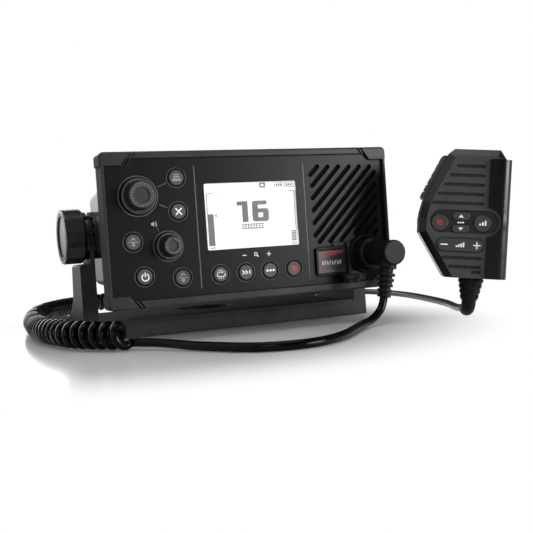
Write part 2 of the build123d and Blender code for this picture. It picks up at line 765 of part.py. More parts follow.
def make_dust_cap():
    # Rubber ring behind the socket's flange with a lobe beside it, and the cap on a strap over the flap's rim.
    z = place_z(socket_height)
    ring = Circle(socket_flange / 2 - cap_ring_inset) - Circle(socket_barrel / 2 + fit_gap)
    body = slab(Pos(socket_x, z) * ring, panel_y - cap_ring_thickness, cap_ring_thickness)
    strap_left = distress_x + distress_size_x / 2 - distress_rim + 0.5
    strap_x = strap_left + cap_strap_width / 2
    strap_front = panel_y - distress_rim_stand - face_gap - cap_strap_thickness
    lobe_low = place_z(distress_height) + distress_size_z / 2 + face_gap
    lobe_z = lobe_low + cap_lobe_height / 2
    lobe_left = strap_left - cap_lobe_left
    lobe_right = socket_x - cap_lobe_right
    body += block((lobe_left + lobe_right) / 2, lobe_z, lobe_right - lobe_left, cap_lobe_height,
                  panel_y - cap_ring_thickness, cap_ring_thickness, cap_lobe_radius)
    body += block(strap_x, lobe_z, cap_strap_width, cap_lobe_height, strap_front, panel_y - strap_front)
    cap_z = z - cap_drop
    top = lobe_low + cap_lobe_height
    low = cap_z - cap_flange_thickness
    body += block(strap_x, (top + low) / 2, cap_strap_width, top - low, strap_front, cap_strap_thickness)
    cap_y = strap_front - cap_flange / 2 + 1.0
    rim_plane = Plane(origin=(strap_x - cap_shift, cap_y, cap_z))
    body += extrude(rim_plane * Circle(cap_flange / 2), amount=-cap_flange_thickness)
    plug_plane = rim_plane.offset(-cap_flange_thickness)
    body += extrude(plug_plane * Circle(cap_plug_diameter / 2), amount=-cap_plug_length)
    return body


# ---------------------------------------------------------------- housing
def housing_section(y, half_width, floor, top, inset=0.0):
    centre = Pos(0, (floor + top) / 2)
    radius = max(housing_edge - inset, 1.0)
    outline = RectangleRounded(2 * (half_width - inset), top - floor - 2 * inset, radius)
    return (front_plane(y) * centre * outline).face()


def make_gasket():
    centre = Pos(0, fascia_z(fascia_height / 2))
    outer = RectangleRounded(fascia_width - 2 * side_inset - 0.4, fascia_height - 1.0, corner_radius)
    inner = RectangleRounded(fascia_width - 2 * frame_wall, fascia_height - 2 * frame_wall, corner_radius / 2)
    gasket = slab(centre * (outer - inner), frame_back, gasket_thickness)
    places = housing_screw_places()
    return gasket - [disc(x, z, screw_boss + 2 * fit_gap, frame_back, gasket_thickness) for x, z in places]


def housing_screw_places():
    half_x = fascia_width / 2 - frame_wall - screw_boss / 2 + 0.3
    for x in (-half_x, half_x):
        for height in (screw_height, fascia_height - screw_height):
            yield x, fascia_z(height)


def make_rear_housing():
    centre = Pos(0, fascia_z(fascia_height / 2))
    flange = slab(centre * RectangleRounded(fascia_width - 2 * flange_margin, fascia_height - 2 * flange_margin,
                                            corner_radius), flange_y, flange_thickness)
    outer = loft([
        housing_section(flange_y, housing_half_width, housing_floor, housing_top),
        housing_section(housing_back, housing_rear_half_width, housing_rear_floor, housing_rear_top)])
    inner = loft([
        housing_section(flange_y, housing_half_width, housing_floor, housing_top, housing_wall),
        housing_section(housing_back - housing_wall, housing_rear_half_width, housing_rear_floor,
                        housing_rear_top, housing_wall)])
    body = flange + outer
    for side in (-1, 1):
        body += side_disc(side, boss_diameter, housing_half_width - 4.0, boss_face - housing_half_width + 4.0)
    body -= inner
    for side in (-1, 1):
        body += side_disc(side, stud_diameter + 8.0, stud_inner_end - 4.0, 4.0)
        body -= side_disc(side, stud_diameter + 2 * run_gap, stud_inner_end - face_gap, boss_diameter)
    fin_space = 2 * (housing_rear_half_width - fin_side_margin) - fin_thickness
    low = housing_rear_floor + housing_edge
    high = housing_rear_top - housing_edge
    for index in range(fin_count):
        x = -fin_space / 2 + fin_space * index / (fin_count - 1)
        near_socket = [s for s in connector_places() if abs(s[0] - x) < s[2] / 2 + fin_thickness]
        fin_low = low
        if near_socket:
            fin_low = max(s[1] + s[2] / 2 for s in near_socket) + 1.5
            lower = min(s[1] - s[2] / 2 for s in near_socket) - 1.5
            body += block(x, (low + lower) / 2, fin_thickness, lower - low, housing_back - 0.5, fin_depth + 0.5)
        if high - fin_low > 3.0:
            body += block(x, (fin_low + high) / 2, fin_thickness, high - fin_low, housing_back - 0.5,
                          fin_depth + 0.5)
    for x, z, _, inner_diameter in connector_places():
        body -= disc(x, z, inner_diameter + 2 * fit_gap, housing_back - housing_wall - 1.0, housing_wall + 2.0)
    for x, z in housing_screw_places():
        body -= disc(x, z, screw_diameter + 0.4, flange_y, flange_thickness)
    for x, y in standoff_places():
        post = Plane(origin=(x, y, housing_rear_floor)) * Circle(standoff_diameter / 2)
        body += extrude(post, amount=board_level() - housing_rear_floor)
    return body


def board_level():
    return housing_rear_floor + housing_wall + standoff_height


def standoff_places():
    for side in (-1, 1):
        for end in (-1, 1):
            yield (side * (main_board_x / 2 - standoff_inset),
                   main_board_centre() + end * (main_board_y / 2 - standoff_inset))


def main_board_centre():
    return (housing_y + housing_back) / 2 + 4.0


def make_main_board():
    plane = Plane(origin=(0, main_board_centre(), board_level()))
    board = extrude(plane * Rectangle(main_board_x, main_board_y), amount=board_thickness)
    shield = Plane(origin=(shield_shift_x, main_board_centre() + shield_shift_y, board_level() + board_thickness))
    outline = Rectangle(shield_share_x * main_board_x, shield_share_y * main_board_y)
    return board + extrude(shield * outline, amount=shield_height)


def make_housing_screws():
    screws = []
    for x, z in housing_screw_places():
        shank = disc(x, z, screw_diameter, housing_y - screw_length, screw_length)
        head = disc(x, z, screw_head, housing_y, screw_head_height)
        head -= slab(Pos(x, z) * RegularPolygon(1.4, 6), housing_y + screw_head_height - 1.2, 1.2)
        screws.append(shank + head)
    return screws


def connector_places():
    # X, Z, space kept clear on the rear face, and diameter of the hole in the rear wall.
    return (
        (antenna_x, antenna_z, antenna_flange, 12.0),
        (gps_x, gps_z, gps_diameter + 5.0, 8.0),
        (data_x, data_z, data_diameter + 6.0, 10.0),
        (gland_x, gland_z, gland_diameter + 6.0, 11.0),
    )


def make_connector(place, flange, diameter, length, bore, square):
    x, z, _, hole = place
    if square:
        body = block(x, z, flange, flange, housing_back, 2.6, 2.0)
    else:
        body = slab(Pos(x, z) * RegularPolygon(flange / 2, 6), housing_back, 3.4)
    body += disc(x, z, diameter, housing_back, length)
    body += disc(x, z, hole, housing_back - housing_wall, housing_wall)
    body -= disc(x, z, bore, housing_back + length - 9.0, 9.0)
    return body


def make_antenna_socket():
    body = make_connector(connector_places()[0], antenna_flange, antenna_diameter, antenna_length, 9.2, True)
    sleeve = Circle(3.4) - Circle(2.0)
    sleeve = slab(Pos(antenna_x, antenna_z) * sleeve, housing_back + antenna_length - 9.5, 8.5)
    return body + sleeve


def make_gps_socket():
    body = make_connector(connector_places()[1], gps_diameter + 3.0, gps_diameter - 1.4, gps_length, 5.4, False)
    return body + disc(gps_x, gps_z, 1.6, housing_back + gps_length - 9.5, 8.0)


def make_data_socket():
    body = make_connector(connector_places()[2], data_diameter + 4.0, data_diameter, data_length, 10.2, False)
    for index in range(5):
        angle = 2 * pi * index / 4
        radius = 2.9 if index < 4 else 0.0
        body += disc(data_x + cos(angle) * radius, data_z + sin(angle) * radius, 1.2,
                     housing_back + data_length - 9.5, 7.5)
    return body


def make_power_gland():
    return make_connector(connector_places()[3], gland_diameter + 5.0, gland_diameter, gland_length, gland_bore,
                          False)


# ---------------------------------------------------------------- bracket and clamps
def make_bracket():
    middle_y = (base_front + base_rear) / 2
    depth = base_rear - base_front
    plane = Plane(origin=(0, middle_y, 0))
    base = extrude(plane * RectangleRounded(2 * base_half_width, depth, 3.0), amount=base_height)
    lip_plane = Plane(origin=(0, base_front, base_height - base_lip / 2))
    base += lip_plane * Box(2 * arm_inner - 14.0, 2 * base_lip_reach, base_lip)
    hole = Plane(origin=(0, cable_hole_y, 0)) * Circle(cable_hole_radius)
    base -= extrude(hole, amount=base_height)
    for side in (-1, 1):
        for x, y in ((front_slot_x, front_slot_y), (rear_slot_x, rear_slot_y)):
            slot = Plane(origin=(side * x, y, 0)) * SlotOverall(slot_hole_length, slot_hole_width)
            base -= extrude(slot, amount=base_height)
        pocket_inner = front_slot_x + slot_hole_length / 2 + pocket_wall
        pocket_outer = base_half_width - pocket_wall
        pocket_low = base_front + pocket_wall
        pocket_high = rear_slot_y - slot_hole_width / 2 - pocket_wall
        pocket = Plane(origin=(side * (pocket_inner + pocket_outer) / 2, (pocket_low + pocket_high) / 2, 0))
        base -= extrude(pocket * Rectangle(pocket_outer - pocket_inner, pocket_high - pocket_low),
                        amount=pocket_depth)
        pocket_inner = cable_hole_radius + pocket_wall
        pocket_outer = front_slot_x - slot_hole_length / 2 - pocket_wall
        pocket = Plane(origin=(side * (pocket_inner + pocket_outer) / 2, cable_hole_y, 0))
        base -= extrude(pocket * Rectangle(pocket_outer - pocket_inner, 2 * (base_rear - cable_hole_y - pocket_wall)),
                        amount=pocket_depth)
    body = base
    for side in (-1, 1):
        body += make_arm(side)
    return body


def make_arm(side):
    # The lower arm is thick; above the shoulder only the inner ear goes on.
    plane = Plane(origin=(side * arm_inner, 0, 0), x_dir=(0, 1, 0), z_dir=(1, 0, 0))
    with BuildSketch() as lower:
        with BuildLine():
            front = Line((base_front, 0), (base_front, arm_shoulder))
            top = Line(front @ 1, (arm_rear, arm_shoulder))
            back = Line(top @ 1, (arm_rear + 3.0, base_height + 19.0))
            sweep_out = Spline(back @ 1, (arm_foot_rear, base_height), tangents=[back % 1, (1, 0)],
                               tangent_scalars=(0.8, 0.8))
            foot = Line(sweep_out @ 1, (arm_foot_rear, 0))
            Line(foot @ 1, front @ 0)
        make_face()
    lower_arm = extrude(plane * lower.sketch, amount=side * (base_half_width - arm_inner))
    outer_top = lower_arm.edges().filter_by(Axis.Y).sort_by(Axis.Z)[-2:].sort_by(Axis.X)
    lower_arm = chamfer(outer_top[-1 if side > 0 else 0], arm_top_chamfer)
    ear_outline = Pos(0, pivot_height) * Circle(ear_radius)
    ear_outline += Polygon((base_front, arm_shoulder - 2.0), (arm_rear, arm_shoulder - 2.0),
                           (ear_radius, pivot_height), (-ear_radius, pivot_height), align=None)
    ear = extrude(plane * ear_outline, amount=side * ear_thickness)
    arm = lower_arm + ear
    return arm - side_disc(side, stud_diameter + 4 * run_gap, arm_inner - 1.0, ear_thickness + 20.0)


def make_friction_washers():
    washers = []
    for side in (-1, 1):
        start = boss_face + face_gap
        washer = side_disc(side, washer_diameter, start, washer_thickness)
        plane = Plane(origin=(side * (start + washer_thickness), 0, pivot_height), x_dir=(0, 1, 0),
                      z_dir=(side, 0, 0))
        for index in range(washer_teeth):
            angle = 360.0 * index / washer_teeth
            notch = Rot(0, 0, angle) * Pos(washer_diameter / 2 - 2.0, 0) * Rectangle(6.0, 2.0)
            washer -= extrude(plane * notch, amount=-washer_tooth_depth)
        washer -= side_disc(side, stud_diameter + 2 * run_gap, start, washer_thickness)
        washers.append(washer)
    return washers


def make_clamp_knob(side):
    hub = side_disc(side, clamp_hub_diameter, clamp_face, clamp_hub_length)
    start = clamp_face + clamp_hub_length
    hub_plane = Plane(origin=(side * clamp_face, 0, pivot_height), x_dir=(0, 1, 0), z_dir=(side, 0, 0))
    for index in range(clamp_hub_notches):
        notch = Rot(0, 0, 360.0 * index / clamp_hub_notches) * Pos(clamp_hub_diameter / 2, 0) * Rectangle(5.0, 3.0)
        hub -= extrude(hub_plane * notch, amount=clamp_hub_length)
    barrel = side_disc(side, clamp_diameter, start, clamp_length)
    inner_edge = barrel.faces().sort_by(Axis.X)[0 if side > 0 else -1].edges()
    barrel = chamfer(inner_edge, 2.2)
    outer_edge = barrel.faces().sort_by(Axis.X)[-1 if side > 0 else 0].edges()
    barrel = chamfer(outer_edge, 0.5)
    plane = Plane(origin=(side * start, 0, pivot_height), x_dir=(0, 1, 0), z_dir=(side, 0, 0))
    cuts = []
    zone = 360.0 / clamp_facets
    turn = zone / 2 + side * clamp_tip
    for facet in range(clamp_facets):
        flat = Pos(clamp_diameter / 2 + 5.0 - clamp_flat_depth, 0) * Rectangle(10.0, 30.0)
        cuts.append(extrude(plane * Rot(0, 0, zone * facet + turn) * flat, amount=clamp_length))
    barrel -= cuts
    for facet in range(clamp_facets):
        centre = zone * (facet + 0.5) + turn
        for rib in range(clamp_ribs):
            angle = centre + (rib - (clamp_ribs - 1) / 2) * clamp_rib_step
            groove = Rot(0, 0, angle) * Pos(clamp_diameter / 2, 0) * Rectangle(2 * clamp_rib_depth, 0.6)
            barrel -= extrude(plane.offset(2.6) * groove, amount=clamp_length - 3.6)
    face_plane = plane.offset(clamp_length)
    dish = extrude(face_plane * Circle(clamp_diameter / 2 - 4.2), amount=-clamp_dish)
    rim = extrude(face_plane * (Circle(clamp_diameter / 2 - 2.6) - Circle(clamp_diameter / 2 - 3.4)),
                  amount=-clamp_rim_groove)
    bore = side_disc(side, stud_diameter, clamp_face, clamp_hub_length + clamp_length - 3.0)
    return hub + barrel - dish - rim - bore


def make_clamp_stud(side):
    stud = side_disc(side, stud_diameter, stud_inner_end, clamp_face + clamp_hub_length + clamp_length - 3.0
                     - stud_inner_end)
    return chamfer(stud.faces().sort_by(Axis.X)[0 if side > 0 else -1].edges(), 0.6)


# ---------------------------------------------------------------- hand microphone
def mic_plane():
    turn = radians(mic_turn)
    lean = radians(mic_lean)
    right = Vector(cos(turn) * cos(lean), -sin(turn) * cos(lean), -sin(lean))
    out = Vector(-sin(turn), -cos(turn), 0)
    return Plane(origin=(mic_foot_x, mic_foot_y, 0), x_dir=tuple(right), z_dir=tuple(out))


def placed(solid):
    # Moves a piece of the microphone from its own frame to its place.
    return mic_plane().location * solid


def mic_slab(outline, start, end):
    return extrude(Plane(origin=(0, 0, start)) * outline, amount=end - start)


def body_outline(inset=0.0):
    outline = Polygon(*mic_outline, align=None)
    if inset > 0:
        outline = offset(outline, -inset, kind=Kind.INTERSECTION)
    return outline


def pill(left, right, low, high):
    return Pos((left + right) / 2, (low + high) / 2) * SlotOverall(right - left, high - low)


def spine_region():
    low = mic_outline[0][1]
    right = mic_outline[1][0]
    region = Polygon((spine_start, low), (right, low), (right, spine_high), (spine_start, spine_high), align=None)
    left, reach, recess_low, recess_high = mic_recess
    return region - pill(left - 2.0, reach + 1.6, recess_low - 2.4, recess_high + 2.4)


def bevelled(solid, right, low, size):
    # Bevels the front edges, but not the one beside the spine and the one at the bottom.
    edges = [edge for edge in solid.faces().sort_by(Axis.Z)[-1].edges()
             if edge.center().X < right - 0.1 and edge.center().Y > low + 0.1]
    return chamfer(edges, size)


def make_mic_front_shell():
    right = mic_outline[1][0]
    low = mic_outline[0][1]
    shell = bevelled(mic_slab(body_outline(), 0, mic_front), right, low, mic_bevel)
    cavity = mic_slab(body_outline(mic_wall), 0, mic_front - mic_wall)
    shell -= bevelled(cavity, right - mic_wall, low + mic_wall, mic_inner_bevel)
    shell -= mic_slab(spine_region(), mic_front - spine_sink, mic_front + 1.0)
    for start, end, v in grille_slots + vent_slots:
        slot = pill(start - mic_slot_width / 2, end + mic_slot_width / 2, v - mic_slot_width / 2,
                    v + mic_slot_width / 2)
        shell -= mic_slab(slot, mic_front - mic_wall, mic_front)
    left, right, low, high = mic_recess
    shell -= mic_slab(pill(left, right, low, high), mic_front - mic_recess_depth, mic_front)
    for u, v, diameter in mic_round_keys.values():
        shell -= mic_slab(Pos(u, v) * Circle(diameter / 2 + mic_key_play), mic_front - mic_wall, mic_front)
    for u, v in mic_bar_keys.values():
        hole = Pos(u, v) * SlotOverall(mic_bar_key_x + 2 * mic_key_play, mic_bar_key_v + 2 * mic_key_play)
        shell -= mic_slab(hole, mic_front - mic_wall, mic_front)
    hole = Pos(rocker_u, rocker_v) * SlotOverall(rocker_length + 2 * rocker_play, rocker_width + 2 * rocker_play)
    shell -= mic_slab(hole, mic_front - mic_wall, mic_front)
    shell -= ptt_pocket()
    shell -= boot_socket()
    return placed(shell)


def make_mic_rear_shell():
    shell = mic_slab(body_outline(), -mic_back, 0)
    shell = chamfer(shell.faces().sort_by(Axis.Z)[0].edges(), mic_edge)
    shell -= mic_slab(body_outline(mic_wall), -mic_back + mic_wall, 0)
    pad = mic_slab(Pos(rocker_u, stud_v) * Circle(stud_neck / 2 + 2.5), -mic_back + mic_wall, -mic_back + 5.5)
    shell += pad
    shell -= mic_slab(Pos(rocker_u, stud_v) * Circle(2.1), -mic_back, -mic_back + 5.5)
    for step in range(4):
        v = 36.0 + 6.0 * step
        groove = Pos(rocker_u, v) * SlotOverall(30.0, 1.6)
        shell -= mic_slab(groove, -mic_back, -mic_back + 0.8)
    for u, v in mic_screw_places():
        shell -= mic_slab(Pos(u, v) * Circle(screw_head / 2), -mic_back, -mic_back + screw_head_height)
        boss = mic_slab(Pos(u, v) * Circle(screw_head / 2 + 0.8), -mic_back + mic_wall, -1.0)
        shell += boss - mic_slab(Pos(u, v) * Circle(screw_head / 2), -mic_back, -mic_back + screw_head_height)
        shell -= mic_slab(Pos(u, v) * Circle(screw_diameter / 2 + 0.1), -mic_back, -1.0)
    shell -= ptt_pocket()
    shell -= boot_socket()
    return placed(shell)


def mic_screw_places():
    return ((-24.0, 54.0), (9.0, 54.0), (9.0, 96.0), (9.0, 30.5))


def make_mic_screws():
    screws = []
    for u, v in mic_screw_places():
        head = mic_slab(Pos(u, v) * Circle(screw_head / 2 - fit_gap), -mic_back + 0.4,
                        -mic_back + screw_head_height)
        head -= mic_slab(Pos(u, v) * RegularPolygon(1.4, 6), -mic_back + 0.4, -mic_back + 1.4)
        shank = mic_slab(Pos(u, v) * Circle(screw_diameter / 2), -mic_back + screw_head_height, -1.4)
        screws.append(placed(head + shank))
    return screws


def make_mic_spine():
    region = spine_region()
    front = mic_slab(region, mic_front - spine_sink, mic_front + spine_stand)
    right = mic_outline[1][0]
    low = mic_outline[0][1]
    outline = Pos(right + spine_thickness / 2, (low + spine_high) / 2) * Rectangle(spine_thickness, spine_high - low)
    spine = front + mic_slab(outline, -spine_back, mic_front + spine_stand)
    edge = spine.edges().filter_by(Axis.Y).group_by(Axis.X)[-1].sort_by(Axis.Z)[-1]
    return placed(fillet(edge, spine_radius))


def ptt_line():
    # Lower and upper end of the slanted edge that carries the talk key.
    top_u, top_v = mic_outline[5]
    low_u, low_v = mic_outline[6]
    slope = (top_u - low_u) / (top_v - low_v)
    lower = Vector(low_u + (ptt_low + 1.5 - low_v) * slope, ptt_low + 1.5)
    upper = Vector(low_u + (ptt_high - low_v) * slope, ptt_high)
    return lower, upper


def ptt_normal():
    lower, upper = ptt_line()
    run = (upper - lower).normalized()
    return Vector(-run.Y, run.X)


def ptt_outline(grow, inward, outward):
    lower, upper = ptt_line()
    run = (upper - lower).normalized()
    normal = ptt_normal()
    corners = [
        lower - run * grow - normal * inward, upper + run * grow - normal * inward,
        upper + run * grow + normal * outward, lower - run * grow + normal * outward]
    return Polygon(*[(corner.X, corner.Y) for corner in corners], align=None)


def ptt_pocket():
    return mic_slab(ptt_outline(0.3, mic_wall + 1.0, 4.0), -ptt_width / 2 - 0.3, ptt_width / 2 + 0.3)


def make_mic_ptt():
    key = mic_slab(ptt_outline(0.0, mic_wall - 0.4, ptt_stand), -ptt_width / 2, ptt_width / 2)
    normal = ptt_normal()
    outer = key.faces().sort_by(Axis((0, 0, 0), (normal.X, normal.Y, 0)))[-1]
    key = chamfer(outer.edges(), 1.2)
    return placed(key - [ptt_groove(index) for index in range(ptt_grooves)])


def ptt_groove(index):
    # Groove across the talk key, one of several spread evenly along it.
    lower, upper = ptt_line()
    centre = lower + (upper - lower) * ((index + 1) / (ptt_grooves + 1)) + ptt_normal() * ptt_stand
    angle = Vector(1, 0, 0).get_signed_angle(upper - lower, Vector(0, 0, 1))
    outline = Pos(centre.X, centre.Y) * Rot(0, 0, angle) * Rectangle(ptt_groove_width, 2 * ptt_groove_depth)
    return mic_slab(outline, -ptt_width / 2, ptt_width / 2)


def make_mic_round_key(name):
    u, v, diameter = mic_round_keys[name]
    top = mic_front - mic_recess_depth + mic_key_stand
    cap = mic_slab(Pos(u, v) * Circle(diameter / 2), mic_front - mic_wall - fit_gap, top)
    cap = chamfer(cap.faces().sort_by(Axis.Z)[-1].edges(), mic_key_chamfer)
    flange = mic_slab(Pos(u, v) * Circle(diameter / 2 + 0.6), mic_front - mic_wall - 1.0,
                      mic_front - mic_wall - fit_gap)
    return placed(cap + flange)


def make_mic_bar_key(name):
    u, v = mic_bar_keys[name]
    top = mic_front - mic_recess_depth + mic_key_stand
    cap = mic_slab(Pos(u, v) * SlotOverall(mic_bar_key_x, mic_bar_key_v), mic_front - mic_wall - fit_gap, top)
    cap = chamfer(cap.faces().sort_by(Axis.Z)[-1].edges(), mic_key_chamfer)
    flange = mic_slab(Pos(u, v) * SlotOverall(mic_bar_key_x + 1.2, mic_bar_key_v + 1.2),
                      mic_front - mic_wall - 1.0, mic_front - mic_wall - fit_gap)
    return placed(cap + flange)


def make_mic_rocker():
    top = mic_front + mic_key_stand
    rocker = mic_slab(Pos(rocker_u, rocker_v) * SlotOverall(rocker_length, rocker_width), mic_front - mic_wall, top)
    rocker = chamfer(rocker.faces().sort_by(Axis.Z)[-1].edges(), mic_key_chamfer)
    rib = Plane(origin=(rocker_u, rocker_v - rocker_rib_length / 2, mic_front - rocker_pivot), x_dir=(1, 0, 0),
                z_dir=(0, 1, 0))
    return placed(rocker + extrude(rib * Circle(rocker_rib / 2), amount=rocker_rib_length))


def make_mic_board():
    board = mic_slab(body_outline(mic_wall + 1.6), 0, board_thickness)
    board -= mic_slab(ptt_outline(1.5, mic_wall + 3.4, 4.0), 0, board_thickness)
    capsule = mic_slab(Pos(-11.0, 84.0) * Circle(5.0), board_thickness, mic_front - mic_wall - 0.6)
    socket = Rectangle(22.0, 6.0)
    key_bar = mic_slab(Pos(rocker_u, 58.0) * socket, board_thickness, board_thickness + 2.0)
    return placed(board + capsule + key_bar - boot_socket())


def make_mic_hanger():
    neck = mic_slab(Pos(rocker_u, stud_v) * Circle(stud_neck / 2), -mic_back - stud_reach + 2.4, -mic_back)
    head = mic_slab(Pos(rocker_u, stud_v) * Circle(stud_head / 2), -mic_back - stud_reach, -mic_back - stud_reach + 2.4)
    head = chamfer(head.faces().sort_by(Axis.Z)[0].edges(), 0.6)
    shank = mic_slab(Pos(rocker_u, stud_v) * Circle(2.0), -mic_back, -mic_back + 5.0)
    return placed(neck + head + shank)


def boot_socket():
    # Round mouth in the bottom of both shells for the cord's boot.
    plane = Plane(origin=(0.6, mic_outline[0][1] - 1.0, 0), x_dir=(1, 0, 0), z_dir=(0, 1, 0))
    return extrude(plane * Circle(mic_boot_top / 2 - 1.4 + fit_gap), amount=6.0)


def make_mic_boot():
    plane = mic_plane()
    up = plane.y_dir
    top = plane.origin + plane.x_dir * 0.6 + up * (mic_outline[0][1] - fit_gap)
    bend = plane.origin + up * mic_boot_arm
    neck = Plane(origin=tuple(top), x_dir=tuple(plane.x_dir), z_dir=tuple(up))
    elbow = Plane(origin=tuple(bend), x_dir=tuple(plane.x_dir), z_dir=tuple(up))
    cone = loft([(neck * Circle(mic_boot_top / 2)).face(), (elbow * Circle(mic_boot_waist / 2)).face()])
    plug = extrude(neck * Circle(mic_boot_top / 2 - 1.4), amount=4.0)
    away = Vector(rear_route[1][0] - rear_route[0][0], rear_route[1][1] - rear_route[0][1], 0).normalized()
    across = up.cross(away).normalized()
    heading = across.cross(up).normalized()
    turn_axis = Axis(tuple(bend + heading * mic_boot_bend), tuple(across))
    corner = revolve(elbow * Circle(mic_boot_waist / 2 - 0.4), turn_axis, up.get_angle(away) - 180)
    return cone + plug + corner


# ---------------------------------------------------------------- cords
def corner_radii(points):
    radii = []
    for before, corner, after in zip(points, points[1:], points[2:]):
        first = corner - before
        second = after - corner
        turn = radians(first.get_angle(second))
        shorter = min(first.length, second.length)
        radii.append(route_share * shorter / tan(turn / 2))
    return radii


def make_cord(route, diameter, name):
    points = [Vector(*point) for point in route]
    radii = corner_radii(points)
    path = FilletPolyline(*points, radius=radii)
    start = Plane(origin=points[0], z_dir=points[1] - points[0])
    tube = sweep(start * Circle(diameter / 2), path=path)
    ideal = pi * diameter ** 2 / 4 * path.length
    print(name, "length", round(path.length, 1), "volume ratio", round(tube.volume / ideal, 4))
    print("  radii", [round(radius, 1) for radius in radii])
    return tube


# ---------------------------------------------------------------- all pieces
pieces = {
    "bezel_frame": make_bezel_frame(),
    "fascia_panel": make_fascia_panel(),
    "lcd_lens": make_lcd_lens(),
    "lcd_module": make_lcd_module(),
    "keypad_mat": make_keypad_mat(),
    "front_board": make_front_board(),
    "channel_encoder": make_encoder(channel_x, channel_height),
    "volume_encoder": make_encoder(volume_x, volume_height),
    "channel_shaft": make_shaft(channel_x, channel_height),
    "volume_shaft": make_shaft(volume_x, volume_height),
    "channel_knob": make_turning_knob(channel_x, channel_height, channel_skirt, channel_grip, channel_cap, False),
    "volume_knob": make_turning_knob(volume_x, volume_height, volume_skirt, volume_grip, volume_cap, True),
    "distress_flap": make_distress_flap(),
    "distress_key": make_distress_key(),
    "speaker_driver": make_speaker(),
    "mic_socket": make_mic_socket(),
    "plug_ring": make_plug_ring(),
    "plug_head": make_plug_head(),
    "plug_boot": make_plug_boot(),
    "dust_cap": make_dust_cap(),
    "fascia_gasket": make_gasket(),
    "rear_housing": make_rear_housing(),
    "main_board": make_main_board(),
    "housing_screws": make_housing_screws(),
    "antenna_socket": make_antenna_socket(),
    "gps_socket": make_gps_socket(),
    "data_socket": make_data_socket(),
    "power_gland": make_power_gland(),
    "friction_washers": make_friction_washers(),
    "bracket": make_bracket(),
    "clamp_knob_left": make_clamp_knob(-1),
    "clamp_knob_right": make_clamp_knob(1),
    "clamp_stud_left": make_clamp_stud(-1),
    "clamp_stud_right": make_clamp_stud(1),
    "mic_front_shell": make_mic_front_shell(),
    "mic_rear_shell": make_mic_rear_shell(),
    "mic_spine": make_mic_spine(),
    "mic_ptt": make_mic_ptt(),
    "mic_rocker": make_mic_rocker(),
    "mic_board": make_mic_board(),
    "mic_hanger": make_mic_hanger(),
    "mic_screws": make_mic_screws(),
    "mic_boot": make_mic_boot(),
    "cord_front_lead": make_cord(front_route, cord_diameter, "front lead"),
    "cord_coil": make_cord(coil_route, coil_diameter, "coil"),
    "cord_rear_lead": make_cord(rear_route, cord_diameter, "rear lead"),
}
for key_name in key_places:
    pieces[key_name] = make_key(key_name)
for key_name in mic_round_keys:
    pieces[key_name] = make_mic_round_key(key_name)
for key_name in mic_bar_keys:
    pieces[key_name] = make_mic_bar_key(key_name)

os.makedirs("parts", exist_ok=True)
for node, piece in pieces.items():
    shape = Compound(children=piece) if isinstance(piece, list) else piece
    export_step(shape, f"parts/{node}.step")
print(len(pieces), "nodes")
